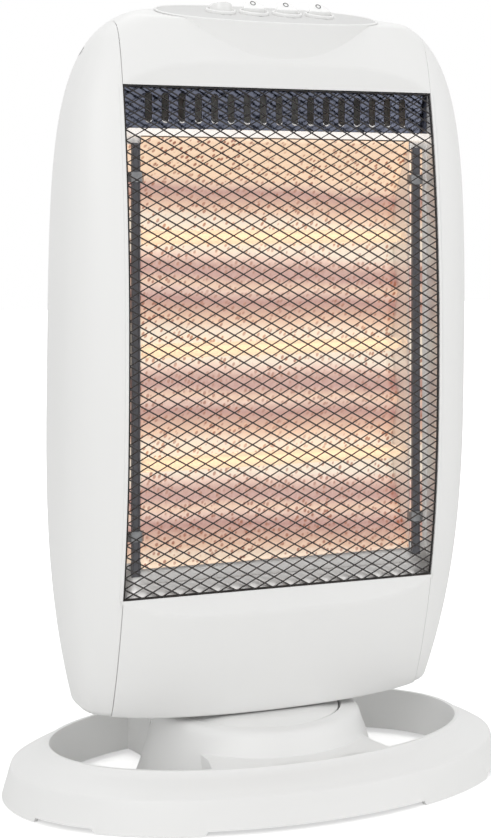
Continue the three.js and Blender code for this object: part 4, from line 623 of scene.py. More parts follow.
def bottom_panel_skin():
    """Rows from the foot up the skin to the meeting line, then along the cut to the edge. The foot
    hangs down by a parabola, 5.2 mm in the middle."""
    x = across_front(97, 0.98)
    meet = meeting_height(x, OPEN_LOW, LOWER_ARC)
    sag = FOOT_SAG * (1 - (x / SEAM_X) ** 2)
    turn = np.linspace(0, np.pi / 2, 6)[:, None]
    foot = FOOT - sag + FOOT_ROUND * (1 - np.cos(turn))
    start = FOOT - sag + FOOT_ROUND
    rise = start + (meet - start) * np.linspace(0, 1, 26)[1:, None]
    cut = meet + (OPEN_LOW - GAP - meet) * np.linspace(0, 1, 9)[1:, None]
    z = np.concatenate([foot, rise, cut])
    flat = len(foot) + len(rise)
    y = front_y(x, np.maximum(z, FOOT_TOP)) + 3.2 * np.clip((FOOT_TOP - z) / (5 + sag), 0, 1)
    y[: len(foot)] += FOOT_ROUND * (1 - np.sin(turn))
    y[flat:] = np.maximum(y[flat:], cut_depth(z[flat:], OPEN_LOW, LOWER_ARC))
    return surface(x, y, z)


shell_piece("front_bottom_panel", [grid_part(bottom_panel_skin())])
print("bottom panel made")

# %% [markdown]
# The top cover goes over the shoulder: from the cut above the opening up the front, over the flat
# crown and down behind to the rear seam. Under the sloping control plate it dips out of the way, and
# the oval pod grows out of it on a tapering skirt.

# %% Top cover with the pod
POD_AT = np.array([0.0, -19.0, 542.5])
POD_SLOPE = np.radians(15.5)
POD_HALF = np.array([84.0, 36.0])
POD_POWER = 2.3


def pod_to_world(p):
    """From the plate's own frame (x across, y up the slope, z out of it) to the heater's."""
    p = np.asarray(p, float)
    c, s = np.cos(POD_SLOPE), np.sin(POD_SLOPE)
    x, y, z = p[..., 0], p[..., 1], p[..., 2]
    return surface(x, y * c - z * s, y * s + z * c) + POD_AT


def smaller(a, b, soft):
    """Smooth minimum of two heights: the lesser of them, blended within `soft`."""
    h = np.clip(0.5 + 0.5 * (b - a) / soft, 0, 1)
    return b * (1 - h) + a * h - soft * h * (1 - h)


def top_skin():
    """Rows along the cut, up the front, over the crown and down to the rear seam."""
    x = across_front(121, 0.97)
    meet = meeting_height(x, OPEN_TOP, UPPER_ARC)
    crest = np.minimum(HEAD_TOP, crown_at(x))
    cut = OPEN_TOP + GAP + (meet - OPEN_TOP - GAP) * np.linspace(0, 1, 9)[:-1, None]
    rise = crest - (crest - meet) * (1 - np.linspace(0, 1, 46)[:, None]) ** 2.6
    z = np.concatenate([cut, rise])
    y = front_y(x, z)
    y[: len(cut)] = np.maximum(y[: len(cut)], cut_depth(cut, OPEN_TOP, UPPER_ARC))
    front_edge, back_edge = front_y(x, crest), np.minimum(rear_y(x, crest), REAR_SEAM - GAP)
    y_over = front_edge + (back_edge - front_edge) * np.linspace(0, 1, 26)[1:-1, None]
    seam = halving(lambda z: rear_y(x, z) > REAR_SEAM - GAP, np.full_like(x, 400.0), crest)
    fall = crest + (seam - crest) * np.linspace(0, 1, 12)[:, None] ** 1.8
    z = np.concatenate([z, np.broadcast_to(crest, y_over.shape), fall])
    y = np.concatenate([y, y_over, np.minimum(rear_y(x, fall), REAR_SEAM - GAP)])
    plane = POD_AT[2] + (y - POD_AT[1]) * np.tan(POD_SLOPE)
    room_x, room_y = POD_HALF - 1.2
    up_slope = (y - POD_AT[1]) / np.cos(POD_SLOPE)
    round_pod = np.abs(x / room_x) ** POD_POWER + np.abs(up_slope / room_y) ** POD_POWER
    dip = 1.8 * np.clip((1.0 - round_pod) / 0.06, 0, 1) + 14.0 * np.clip((0.58 - round_pod) / 0.1, 0, 1)
    return surface(x, y, smaller(z, plane - 1.3 - dip, 2.5))


def pod_part(count=144):
    """The pod: a skirt from its foot in the head up to the plate's oval, a rounded rim and a ledge."""
    to_pod = (0.0, POD_AT[1])
    foot = raised(oval(count, 58.0, 26.0) + to_pod, 500.5)
    rim = pod_to_world(raised(oval(count, *POD_HALF), 0.0))
    rings = [foot + (rim - foot) * t for t in (*np.linspace(0, 1, 15)[:-2], 0.985)]
    for inset, height in ((0.0, -0.75), (0.25, -0.22), (0.8, 0.0), (1.7, 0.0), (2.05, -0.12), (2.2, -0.45),
                          (2.2, -2.7), (9.0, -2.7)):
        rings.append(pod_to_world(raised(oval(count, *(POD_HALF - inset)), height)))
    rings.append(raised(oval(count, 50.0, 20.0) + to_pod, 503.0))
    return tube_part(rings)


# the top cover's inside wall takes the painted shade
shell_piece("top_cover", [grid_part(top_skin())], (white_abs, painted_shade_wall), thickness=2.0)
mesh_piece("top_cover_pod", [pod_part()], [white_abs], "head", sharp=50)
print("top cover made")

# %% [markdown]
# ## Rear cover
# The rear cover closes the head behind the rear seam. Its skin is a grid over height and plan angle.
# The slots, the grip and the screw wells are cut with Boolean modifiers, which are applied at once,
# so that the cutters do not stay in the scene.

# %% Rear cover skin and cutters
VENT_BOTTOMS, VENT_PITCH, VENT_APART = (380.0, 120.0), 12.0, 88.0
WELL_RADIUS, REAR_WELL_X, REAR_WELL_HEIGHTS = 4.0, 126.0, (110.0, 430.0)
GRIP_HEIGHT, GLAND_HEIGHT, GLAND_RADIUS = 478.0, 84.0, 6.3


def rear_skin(rows=110, columns=121):
    """A grid over height and plan angle between the two ends of the rear seam, closed over the crown."""
    s = np.linspace(0, 1, rows)[1:]
    z = np.concatenate([FOOT_HEIGHTS, FOOT_TOP + (HEAD_TOP - 0.6 - FOOT_TOP) * (1 - (1 - s) ** 1.5)])[:, None]
    half, _, rear, girth = head_at(z)
    start = np.arcsin(np.clip((REAR_SEAM + GAP - girth) / (rear - girth), 0, 1) ** (REAR_POWER / 2))
    angle = start + (np.pi - 2 * start) * np.linspace(0, 1, columns)
    c, sn = np.cos(angle), np.sin(angle)
    x = half * np.sign(c) * np.abs(c) ** (2 / REAR_POWER)
    y = girth + (rear - girth) * np.abs(sn) ** (2 / REAR_POWER)
    return surface(x, np.maximum(y, REAR_SEAM + GAP), z)


def stadium(length, width, count=10):
    """A slot outline with round ends."""
    r = width / 2
    a = np.linspace(-np.pi / 2, np.pi / 2, count)
    right = np.column_stack([length / 2 - r + r * np.cos(a), r * np.sin(a)])
    return np.concatenate([right, -right])


def along_y(outline, x, z, low, high):
    """An outline in XZ pushed along Y, as a closed part."""
    return tube_part([surface(outline[:, 0] + x, y, outline[:, 1] + z) for y in (low, high)])


def carve(piece, parts):
    """Applies the piece's modifiers and one Boolean cut with these parts, and keeps the result."""
    tool = put("cutter", mesh_of("cutter", parts))
    step = piece.modifiers.new("carve", "BOOLEAN")
    step.operation = "DIFFERENCE"
    step.object = tool
    step.solver = "EXACT"
    step.use_self = True
    graph = bpy.context.evaluated_depsgraph_get()
    done = bpy.data.meshes.new_from_object(piece.evaluated_get(graph))
    piece.modifiers.clear()
    old = piece.data
    piece.data = done
    done.name = old.name
    bpy.data.meshes.remove(old)
    bpy.data.objects.remove(tool)
    done.set_sharp_from_angle(angle=np.radians(32))


rear = mesh_piece("rear_cover_smooth", [grid_part(rear_skin())], [white_abs], "head", ["rear_cover"])
walled(rear, 2.4)
slots = [along_y(stadium(74, 5), side * VENT_APART / 2, bottom + row * VENT_PITCH, 24, 130)
         for bottom in VENT_BOTTOMS for row in range(4) for side in (-1, 1)]
rear_wells = [(side * REAR_WELL_X, z) for side in (-1, 1) for z in REAR_WELL_HEIGHTS]
well, grip = circle(28, WELL_RADIUS), stadium(92, 24, 14)
holes = [along_y(well, x, z, 26, 130) for x, z in rear_wells]
holes.append(along_y(circle(28, GLAND_RADIUS), 0.0, GLAND_HEIGHT, 24, 130))
holes.append(along_y(grip, 0.0, GRIP_HEIGHT, 24, 130))
carve(rear, slots + holes)
print("rear cover triangles, about:", 2 * len(rear.data.polygons))

# %% [markdown]
# A screw sits in a round well in each shoulder. Its axis leans outwards from the upright, so the
# cutter is a short drill along a slanted line. Behind the grip and the rear wells lie cups, so that
# no hole looks into the head.

# %% Shoulder wells and rear cups
DRILL_AT, DRILL_TILT = (133.2, -5.0, 513.0), np.radians(35)

c, s = np.cos(DRILL_TILT), np.sin(DRILL_TILT)
for side, word in SIDES:
    drill = [surface(side * (DRILL_AT[0] + along * c - well[:, 0] * s), DRILL_AT[1] + well[:, 1],
                     DRILL_AT[2] + along * s + well[:, 0] * c) for along in (-5.0, 8.0)]
    carve(bpy.data.objects[f"{word}_side_shell_smooth"], [tube_part(drill)])


def pocket(outline, x, z, floor_y, wall=1.6):
    """A cup behind a hole in the rear skin: outer wall, lip on the skin, inner wall and floor."""
    grown = outline * (1 + wall / np.abs(outline).max(axis=0))
    lip_out = rear_y(grown[:, 0] + x, grown[:, 1] + z) - 0.9
    lip_in = rear_y(outline[:, 0] + x, outline[:, 1] + z) - 0.6
    levels = ((grown, floor_y - wall), (grown, lip_out), (outline, lip_in), (outline, floor_y))
    return tube_part([surface(ring[:, 0] + x, y, ring[:, 1] + z) for ring, y in levels])


cups = [pocket(grip, 0.0, GRIP_HEIGHT, 27.4)]
cups += [pocket(well, x, z, float(rear_y(REAR_WELL_X, z)) - 14.0) for x, z in rear_wells]
mesh_piece("rear_cover_pockets", cups, [white_abs], "head", sharp=40)
print("wells and cups:", len(SIDES) + len(cups))

# %% [markdown]
# ## The stand
# The foot is one white moulding: an oval ring, a web that bridges it in front and behind, and a
# round hub. The ring is a profile carried round a superellipse. Its outside leans in a little to a
# crease, and then slopes to the top, which is what gives the bright line along it in the photograph.

# %% Ring, hub and webs
RING_HALF = np.array([185.0, 118.0])
RING_TOP_INNER = np.array([152.0, 88.0])
RING_POWER = 2.06
CREASE, CREASE_INSET = 21.0, 6.0
RING_TOP, FOOT_RISE = 34.0, 3.0


def ring_part(count=576):
    """The oval ring as an inverted channel: outer wall, crease, slope, inner wall and the underside.
    Its foot rises 3 mm in the gaps between the feet."""
    around = oval(count, 1.0, 1.0, RING_POWER)
    x, y = np.abs(around * RING_HALF).T
    foot = np.where((x < 80) | ((x > 146) & (y > 40)), FOOT_RISE, 0.0)
    levels = [(RING_HALF, foot)]
    levels += [(RING_HALF - CREASE_INSET * height / CREASE, height) for height in (8.0, 16.0, CREASE - 1.6)]
    for inset, height in ((-0.1, -0.5), (0.45, 0.45), (1.9, 1.15)):
        levels.append((RING_HALF - (CREASE_INSET + inset), CREASE + height))
    for t in np.linspace(0, 1, 6)[1:-1]:
        half = (RING_HALF - CREASE_INSET) * (1 - t) + RING_TOP_INNER * t
        levels.append((half, CREASE + (RING_TOP - CREASE) * t**0.85))
    for out, drop in ((3.2, 0.15), (1.0, 0.0), (0.3, 0.2), (0.0, 0.9)):
        levels.append((RING_TOP_INNER + out, RING_TOP - drop))
    levels += [(RING_TOP_INNER, FOOT_RISE), (RING_TOP_INNER + 3, FOOT_RISE), (RING_TOP_INNER + 3, RING_TOP - 4.0),
               (RING_HALF - CREASE_INSET - 3, CREASE - 2), (RING_HALF - 3, foot)]
    rings = np.stack([raised(around * half, height) for half, height in levels], axis=1)
    return tube_part(rings, closed_path=True)


HUB_OUTLINE = [
    (55.5, 3.4), (55.5, 12), (52.6, 16), (52.6, 44.4), (59.0, 45.2), (59.2, 49.2), (59.9, 50.0), (66.8, 50.0),
    (69.0, 49.7), (70.6, 49.0), (71.8, 47.9), (72.8, 46.2), (73.6, 44.0), (74.5, 41.0), (75.9, 37.0), (77.6, 33.0),
    (79.6, 26.0), (82.0, 18.0), (85.0, 8.0), (88.0, 0.0), (84.5, 0.0), (74.5, 33.0), (72.0, 41.0),
]


def web_part(end, inner, flare, count=13):
    """A flat bridge from the hub to the ring, on the ring's top level, with its sides down to the
    floor; its half width grows from `inner` at the hub by `flare` at the ring, where it ends flush."""
    y = np.linspace(38.0, 91.0, count)
    rings = []
    for depth, wide in zip(y, inner + flare * np.clip((y - 61.6) / 56.4, 0, 1)):
        top = np.column_stack([np.linspace(-wide + 1.4, wide - 1.4, 25), np.full(25, RING_TOP - 0.06)])
        left = np.array([(-wide, FOOT_RISE), (-wide, RING_TOP - 1.4), (-wide + 0.4, RING_TOP - 0.4)])
        outline = np.concatenate([left, top, left[::-1] * (-1, 1)])
        limit = RING_TOP_INNER[1] * bow(outline[:, 0], RING_TOP_INNER[0], RING_POWER) + 1.3
        rings.append(surface(outline[:, 0], end * np.minimum(depth, limit), outline[:, 1]))
    return tube_part(rings)


stand_parts = [ring_part(), lathe_part(HUB_OUTLINE, 144), web_part(-1, 61.5, 12.5), web_part(1, 69.0, 12.0)]
mesh_piece("stand_smooth", stand_parts, [white_abs], "base", ["stand"], sharp=40)

# %% [markdown]
# The turntable is the disc in the hub that carries the head. Only its gentle dome and the fine dark
# joint round it show, so it is a turned profile with a rounded edge.

# %% Turntable
TURNTABLE_OUTLINE = rounded([(30, 47.0), (57.9, 47.0), (57.9, 49.5), (42.4, 50.8), (30, 50.9)], 0.7)
NECK_OUTLINE = [(5, 11.8), (7.4, 11.8), (7.4, 46.0), (9.5, 47.1), (32, 47.1), (32, 50.8), (6, 50.8), (5, 49.0)]


def collar_part(count=96):
    """The collar between the disc and the head's floor: a wall round an oval that is 42 mm deep
    behind and only 22 mm in front, so that the head's front hides it."""
    rings = [raised(oval(count, 42.0 - inset, 32.0 - inset, 2.2) + (0.0, 10.0), height)
             for inset, height in ((0, 50.6), (0, 56.7), (3.6, 56.7), (3.6, 50.6))]
    return tube_part(np.stack(rings, axis=1), closed_path=True)


disc_parts = [lathe_part(TURNTABLE_OUTLINE, 144), lathe_part(NECK_OUTLINE, 64), collar_part()]
mesh_piece("turntable_smooth", disc_parts, [white_abs], "head", ["turntable"], sharp=40)
print("stand and turntable made")

# %% [markdown]
# ## The diamond net
# Expanded steel is slit and stretched, so every strand is a flat ribbon that stands a little on
# edge, and the strands one way look thicker than the other way. Each run of strands is one straight
# ribbon from edge to edge, and a frame is folded round the net. The bowed front is followed point by
# point.

# %% Net
NET_HALF, NET_LOW, NET_TOP = 115.6, 142.4, 487.6
NET_SINK = 0.8
NET_COLUMNS, NET_ROWS = 17, 46
FRAME_WIDE, FRAME_DEEP = 0.75, 1.6


def net_y(z):
    """Depth of the net at a height: the front skin at the seam, set back."""
    return front_y(SEAM_X, z) + NET_SINK


def strand(x, z, wide, deep, turn):
    """A closed ribbon along a path in XZ: each point gets a rectangle of this width and depth,
    sheared by `turn` so that it stands a little on edge."""
    way_x, way_z = heading(np.column_stack([x, z])).T * wide
    return tube_part(np.stack([
        surface(x - way_z * across, net_y(z) + deep * back + turn * across, z + way_x * across)
        for across, back in ((-0.5, -0.5), (0.5, -0.5), (0.5, 0.5), (-0.5, 0.5))], axis=1))


def net_parts():
    """All strands: straight ribbons down to the right and up to the right, clipped to the frame."""
    pitch_x, pitch_z = 2 * NET_HALF / NET_COLUMNS, (NET_TOP - NET_LOW) / NET_ROWS
    parts = []
    for slope, *section in ((-1, 0.98, 1.2, 0.5), (1, 0.66, 1.0, -0.3)):
        rise = slope * pitch_z / pitch_x
        for k in range(-NET_COLUMNS - 1, NET_ROWS + NET_COLUMNS + 2):
            start = NET_LOW + k * pitch_z
            ends = [(edge - start) / rise for edge in (NET_LOW, NET_TOP)]
            low, high = max(min(ends), 0.0), min(max(ends), 2 * NET_HALF)
            if high - low >= pitch_x * 0.3:
                along = low + (high - low) * np.linspace(0, 1, 9)
                parts.append(strand(along - NET_HALF, start + rise * along, *section))
    return parts


def frame_part():
    """The edge: a closed rectangle of ribbon round the net, folded back so that it looks thin."""
    z = np.linspace(NET_LOW, NET_TOP, 24)
    x = np.linspace(-NET_HALF, NET_HALF, 9)
    outer = np.concatenate([
        np.column_stack([np.full(23, -NET_HALF), z[:-1]]), np.column_stack([x[:-1], np.full(8, NET_TOP)]),
        np.column_stack([np.full(23, NET_HALF), z[:0:-1]]), np.column_stack([x[:0:-1], np.full(8, NET_LOW)])])
    room = np.array([NET_HALF, (NET_TOP - NET_LOW) / 2]) - FRAME_WIDE
    middle = np.array([0.0, (NET_TOP + NET_LOW) / 2])
    inner = middle + np.clip(outer - middle, -room, room)
    rings = [surface(edge[:, 0], net_y(edge[:, 1]) + back * FRAME_DEEP, edge[:, 1])
             for edge, back in ((outer, 0.85), (outer, -0.15), (inner, -0.15), (inner, 0.85))]
    return tube_part(np.stack(rings, axis=1), closed_path=True)


net = mesh_piece("front_grille_net", [*net_parts(), frame_part()], [net_paint], "head",
                 ["front_grille"], sharp=32)
print("net triangles:", sum(len(p.vertices) - 2 for p in net.data.polygons))

# %% [markdown]
# ## The reflector
# Behind each tube the sheet is rolled into a shallow lobe, and the lobes meet in cusps. Sloping
# walls lead from the outer lobes to flat flanges. The profile is carried straight across and closed
# by an end wall at each side. Beside the trough a strip of the same sheet lies over the flange.

# %% Reflector
TROUGH_HALF, FLANGE_Y = 101.5, -40.0
FLOOR_Y, LOBE_DEPTH = -12.0, 10.0
LOBE_LOW, LOBE_TOP, TROUGH_LOW, TROUGH_TOP = 190.0, 424.0, 161.0, 453.0
LIP_LOW, LIP_TOP, LIP_WIDE = 166.0, 448.0, 10.2


def trough_profile():
    """Depth over height, as two columns: straight walls outside the lobes, and in them
    floor - depth * (1 - |sin|)."""
    z = np.concatenate([np.linspace(TROUGH_LOW, LOBE_LOW, 12)[:-1], np.linspace(LOBE_LOW, LOBE_TOP, 145),
                        np.linspace(LOBE_TOP, TROUGH_TOP, 12)[1:]])[:, None]
    lobes = FLOOR_Y - LOBE_DEPTH * (1 - np.abs(np.sin(np.pi * (z - LOBE_LOW) / TUBE_PITCH)))
    wall = FLOOR_Y - LOBE_DEPTH - FLANGE_Y
    lower = FLANGE_Y + wall * (z - TROUGH_LOW) / (LOBE_LOW - TROUGH_LOW)
    upper = FLANGE_Y + wall * (TROUGH_TOP - z) / (TROUGH_TOP - LOBE_TOP)
    return np.where(z < LOBE_LOW, lower, np.where(z > LOBE_TOP, upper, lobes)), z


y, z = trough_profile()
lip_z = np.linspace(LIP_LOW, LIP_TOP, 24)[:, None]
lip_x = np.linspace(TROUGH_HALF, TROUGH_HALF + LIP_WIDE, 4)
parts = [grid_part(surface(np.linspace(-TROUGH_HALF, TROUGH_HALF, 25), y, z))]
parts += [grid_part(surface(side * lip_x, FLANGE_Y - 0.7, lip_z), flip=side < 0) for side in (-1, 1)]
parts += [grid_part(surface(side * TROUGH_HALF, FLANGE_Y + (y - FLANGE_Y) * np.linspace(0, 1, 6), z), 1, flip=side > 0)
          for side in (-1, 1)]
reflector = mesh_piece("reflector_hammered", parts, [hammered, flange_metal], "head", ["reflector"])
walled(reflector, 0.5)
print("reflector faces:", len(reflector.data.polygons))

# %% [markdown]
# The flanges close the gap between the trough and the opening. At the bottom the sheet folds twice,
# and its lowest strip leans forward and mirrors the net. At each side it turns forward along the
# reveal, up to the net. Both are folded profiles carried in a straight line.

# %% Flanges
FLANGE_HALF, FOLD = 115.7, 1.2
BOTTOM_FOLDS = np.array([(-44.9, 142.7), (-44.8, 143.0), (-41.6, 149.9), (-41.4, 150.6), (-41.9, 151.2),
                         (-41.3, 151.9), (-40.2, 157.6), (-40.0, 161.2)])


def side_flange(side, rows=40):
    """From the trough's edge outwards, round a small bend, and forward to just behind the net."""
    z = np.linspace(150.9, 459.0, rows)[:, None]
    bend = np.linspace(0, np.pi / 2, 5)
    x = np.concatenate([[TROUGH_HALF - 0.2, 106.0, 110.0], FLANGE_HALF - FOLD + FOLD * np.sin(bend), [FLANGE_HALF] * 3])
    back = np.concatenate([[FLANGE_Y] * 3, FLANGE_Y - FOLD + FOLD * np.cos(bend)])
    forward = FLANGE_Y - FOLD + (net_y(z) + 1.4 - FLANGE_Y + FOLD) * np.array([0.33, 0.66, 1.0])
    y = np.concatenate([np.broadcast_to(back, (rows, len(back))), forward], axis=1)
    return grid_part(surface(side * x, y, z), flip=side < 0)


across = np.linspace(-FLANGE_HALF, FLANGE_HALF, 13)
bottom_flange = grid_part(surface(across, BOTTOM_FOLDS[:, :1], BOTTOM_FOLDS[:, 1:]))
flanges = mesh_piece("reflector_flanges", [bottom_flange, side_flange(-1), side_flange(1)], [flange_metal],
                     "head", sharp=40)
walled(flanges, 0.4)

# %% [markdown]
# ## Halogen tubes
# Each tube is a clear quartz cylinder, pinched narrow at its ends, with a coiled filament along its
# axis. The coil is a helix carried as a thin wire.

# %% Tubes
TUBE_Y, TUBE_HALF, SEAL = -25.0, 105.7, 8.0
COIL_HALF, COIL_RADIUS, COIL_TURNS, WIRE = 92.0, 1.5, 58, 0.42


def quartz_part(z):
    """A turned profile of x and radius, closed at its ends, about the tube's axis."""
    end = TUBE_HALF - SEAL
    x, r = np.array([(-TUBE_HALF, 2.6), (-end - 1.5, 3.0), (-end, 4.4), (-end + 1.5, 5.0),
                     (end - 1.5, 5.0), (end, 4.4), (end + 1.5, 3.0), (TUBE_HALF, 2.6)]).T[..., None]
    c, s = circle(20).T
    return tube_part(surface(x, TUBE_Y + r * c, z + r * s))


def coil(z):
    """A helix about the tube's axis, carried as a wire of five sides, nine steps to a turn."""
    t = np.linspace(0, 1, COIL_TURNS * 9)[:, None]
    angle = 2 * np.pi * COIL_TURNS * t
    c, s = circle(5, WIRE).T
    x = COIL_HALF * (2 * t - 1) + c
    return tube_part(surface(x, TUBE_Y + (COIL_RADIUS + s) * np.cos(angle), z + (COIL_RADIUS + s) * np.sin(angle)), 1)


for number in (1, 2, 3):
    z = MIDDLE_TUBE + (number - 2) * TUBE_PITCH
    mesh_piece(f"halogen_tube_{number}_glass", [quartz_part(z), coil(z)], [quartz, filament], "head",
               [f"halogen_tube_{number}"])
print("tubes made")

# %% [markdown]
# ## Side strips
# A narrow folded channel covers the tubes' ends at each side, and two clips hold it to the flange.
# The channel is a profile with two lips carried upwards, and each clip is a wider saddle over it.

# %% Side strips and clips
STRIP_IN, STRIP_OUT, STRIP_LOW, STRIP_TOP = 102.8, 108.8, 156.5, 449.0
CLIP_HEIGHTS, CLIP_HALF = (184.0, 426.0), 3.5
CHANNEL = rounded([(STRIP_IN, -40.3), (STRIP_IN, -43.1), (STRIP_IN + 0.9, -43.1), (STRIP_IN + 1.5, -42.3),
                   (STRIP_OUT - 1.5, -42.3), (STRIP_OUT - 0.9, -43.1), (STRIP_OUT, -43.1), (STRIP_OUT, -40.3)], 0.25, 2)
SADDLE = rounded([(STRIP_IN - 3.4, -40.4), (STRIP_IN - 0.8, -44.2), (STRIP_OUT + 0.8, -44.2),
                  (STRIP_OUT + 3.6, -40.4)], 0.5, 2)


def upward(outline, low, high, side, number=0):
    """A closed XY profile carried straight up, mirrored to its side of the heater."""
    return tube_part([raised(outline * (side, 1), z) for z in np.linspace(low, high, 3)], number)


for side, word in SIDES:
    parts = [upward(CHANNEL, STRIP_LOW, STRIP_TOP, side)]
    parts += [upward(SADDLE, z - CLIP_HALF, z + CLIP_HALF, side, 1) for z in CLIP_HEIGHTS]
    mesh_piece(f"{word}_side_strip_smooth", parts, [strip_paint, zinc_steel], "head",
               [f"{word}_side_strip"], sharp=40)
print("side strips made")

# %% [markdown]
# ## Louvre strip
# A dark strip with seventeen upright slots closes the top of the opening and lets hot air out. The
# slots are cut with one Boolean, and a fine bevel and a rolled lip at each lower end give their edges
# the light that the photograph shows on them.

# %% Louvre strip
LOUVRE_HALF, LOUVRE_LOW, LOUVRE_TOP, LOUVRE_PITCH = 115.8, 459.3, 489.0, 12.0
SLOT_WIDE, SLOT_TALL, SLOT_MIDDLE = 5.0, 20.0, 473.65
RIM_WIRE = 0.75
SLOT_PLACES = [k * LOUVRE_PITCH for k in range(-8, 9)]

outline = np.array([(-LOUVRE_HALF, LOUVRE_LOW), (LOUVRE_HALF, LOUVRE_LOW), (LOUVRE_HALF, LOUVRE_TOP),
                    (-LOUVRE_HALF, LOUVRE_TOP)])
louvre = mesh_piece("louvre_strip_smooth", [along_y(outline, 0.0, 0.0, FLANGE_Y, FLANGE_Y + 0.9)], [blued_steel],
                    "head", ["louvre_strip"])
upright = stadium(SLOT_TALL, SLOT_WIDE, 9)[:, ::-1]
carve(louvre, [along_y(upright, x, SLOT_MIDDLE, -44, -35) for x in SLOT_PLACES])
edged(louvre, 0.25, 40, harden=False)


def slot_rim(x, count=15):
    """The rolled lip round a slot's lower end: a half ring of wire, thickest at its lowest point."""
    t = np.linspace(0, 1, count)[:, None]
    angle = np.pi * (1.06 + 0.88 * t)
    thick = RIM_WIRE * np.maximum(np.sin(np.pi * t), 0.05)
    c, s = circle(8).T
    reach = SLOT_WIDE / 2 + 0.1 + thick * c
    low = SLOT_MIDDLE - (SLOT_TALL - SLOT_WIDE) / 2
    return tube_part(surface(x + np.cos(angle) * reach, FLANGE_Y - 0.1 - thick * s, low + np.sin(angle) * reach))


mesh_piece("louvre_strip_rims", [slot_rim(x) for x in SLOT_PLACES], [bright_rim], "head")

# %% [markdown]
# ## Control plate and switches
# The plate lies in the pod's rim, a shade darker than the rim. Four round rocker switches stand in
# it: a bezel with a rounded lip, and in it a rocker whose face is two flats that meet in a shallow
# valley, so that one half always stands up. The rockers ride on their own joints.

# %% Plate with its bars
SWITCH_X = -34.4 + 25.4 * np.arange(4)
SWITCH_Y = 4.0
PLATE_HALF, PLATE_TOP = POD_HALF - 2.5, -0.3
BAR_Y, BAR_WIDE, PRINT_LIFT = SWITCH_Y - 13.0, 0.6, 0.05


def bar_part(x, long):
    """A printed bar on the plate: one thin strip, 0.05 mm over the top face."""
    points = surface(x + np.linspace(-long / 2, long / 2, 4)[:, None], BAR_Y + BAR_WIDE * np.array([-0.5, 0.5]),
                     PLATE_TOP + PRINT_LIFT)
    return grid_part(pod_to_world(points), 1)


plate_levels = [(PLATE_HALF, -2.6), (PLATE_HALF, -0.75), (PLATE_HALF - 0.12, -0.45), (PLATE_HALF - 0.45, PLATE_TOP),
                ((20.0, 8.0), PLATE_TOP)]
plate_rings = [pod_to_world(raised(oval(144, *half), height)) for half, height in plate_levels]
bars = [bar_part(x, 2.6) for x in SWITCH_X[1:]] + [bar_part(SWITCH_X[0] + shift, 2.0) for shift in (-2.6, 2.6)]
mesh_piece("control_plate_smooth", [tube_part(plate_rings), *bars], [plate_abs, ink], "head",
           ["control_plate"], sharp=50)

# %% Bezels and rockers
BEZEL_OUTLINE = rounded([(9.2, -8.2), (9.2, 1.9), (10.0, 2.1), (10.8, 1.5), (10.8, -0.35), (9.8, -0.35),
                         (9.8, -8.2)], 0.35)
WELL_OUTLINE = [(0.01, -13.7), (9.8, -13.7), (9.8, -8.0), (0.01, -8.0)]
REST_TILT = np.radians([-12.0, 12.0, 12.0, 12.0])
ROCKER_FACE, ROCKER_RISE, ROCKER_PIVOT = 3.2, np.tan(np.radians(21.0)), 0.5
MARK_RADIUS, MARK_CENTRE = 1.75, 4.9


def on_plate(x, lift=0.0, tilt=0.0):
    """A function that tilts points about X, moves them to a switch's place and lays them on the plate."""
    c, s = np.cos(tilt), np.sin(tilt)

    def place(p):
        p = np.asarray(p, float)
        turned = surface(p[..., 0], p[..., 1] * c - p[..., 2] * s, p[..., 1] * s + p[..., 2] * c)
        return pod_to_world(turned + (x, SWITCH_Y, lift))

    return place


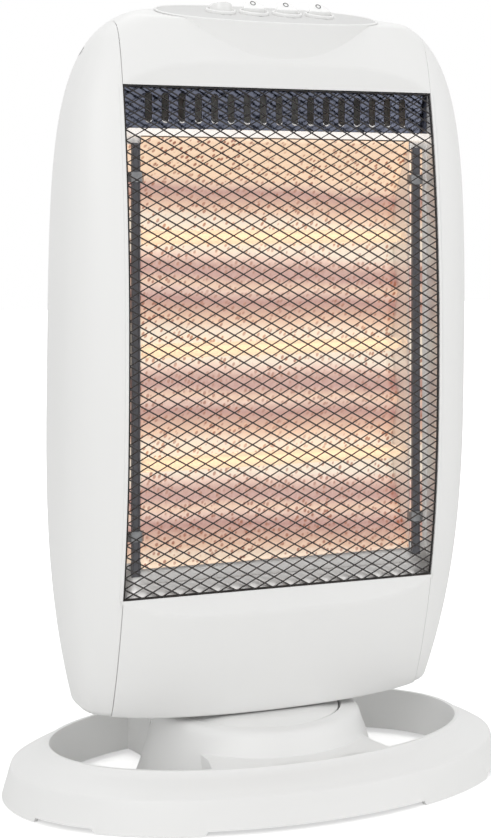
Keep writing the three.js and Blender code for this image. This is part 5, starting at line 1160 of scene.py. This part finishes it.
def rocker_parts(place):
    """A disc whose top is the two flats 3.2 + |y| * tan(21 deg), with a rounded edge, the pin it
    turns on, its stem, and printed marks laid 0.05 mm over the flats."""

    def top_at(r, drop=0.0):
        flat = circle(64, r)
        soft = np.sqrt(flat[:, 1] ** 2 + 0.3**2) - 0.3
        return raised(flat, ROCKER_FACE + soft * ROCKER_RISE - drop)

    disc = [raised(circle(64, r), z) for r, z in ((0.2, -2.0), (7.6, -2.0), (8.0, -1.6), (8.0, 1.0))]
    disc += [top_at(8.0, 0.7), top_at(7.9, 0.25), top_at(7.6, 0.03)]
    disc += [top_at(r) for r in (7.2, 5.6, 4.0, 2.4, 0.8, 0.1)]
    pin = [surface(x, *circle(16, 1.2).T) for x in (-8.9, 8.9)]
    stem = [raised(circle(16, 4.0), z) for z in (-6.4, -1.9)]
    parts = [tube_part(place(rings)) for rings in (disc, pin, stem)]
    turn = np.linspace(0, 2 * np.pi, 33)
    ring_path = np.column_stack([MARK_RADIUS * np.cos(turn), MARK_CENTRE + MARK_RADIUS * np.sin(turn)])
    bar_path = np.column_stack([np.zeros(5), np.linspace(-1.6, -4.4, 5)])
    for path, wide in ((ring_path, 0.6), (bar_path, 0.75)):
        side = heading(path)[:, ::-1] * (wide / 2, -wide / 2)
        flat = np.stack([path + side, path - side], axis=1)
        lift = ROCKER_FACE + np.abs(flat[..., 1]) * ROCKER_RISE + PRINT_LIFT
        parts.append(grid_part(place(surface(flat[..., 0], flat[..., 1], lift)), 1, flip=True))
    return parts


for number, (x, tilt) in enumerate(zip(SWITCH_X, REST_TILT), 1):
    body = [lathe_part(BEZEL_OUTLINE, 64, on_plate(x)), lathe_part(WELL_OUTLINE, 32, on_plate(x))]
    mesh_piece(f"switch_body_{number}_smooth", body, [gloss_abs], "head", [f"switch_body_{number}"],
               sharp=50)
    mesh_piece(f"rocker_{number}_smooth", rocker_parts(on_plate(x, ROCKER_PIVOT, tilt)), [gloss_abs, ink],
               f"rocker_{number}", [f"rocker_{number}"], sharp=40)
print("switches made")

# %% [markdown]
# ## Carried-over CAD nodes
# Small fittings and everything inside keep their CAD shape, which is right for them, and get the
# procedural finish that belongs to their slot.

# %% Finishes for the rest
FINISHES = {
    "white_abs": white_abs, "white_enamel": enamel, "net_wire": net_paint, "reflector_sheet": flange_metal,
    "sheet_steel": zinc_steel, "dark_metal": strip_paint, "quartz": quartz, "ceramic": ceramic,
    "grey_plastic": grey_nylon, "black_plastic": black_nylon, "screw_steel": screw_zinc,
}
slot_of = {part["node"]: part["material_slot"] for part in frame["record"]["subparts"]}
for name, node in nodes.items():
    finish = FINISHES[slot_of[name]]
    if not node.material_slots:
        node.data.materials.append(finish)
    for holder in node.material_slots:
        holder.material = finish
print("finished nodes:", len(nodes))
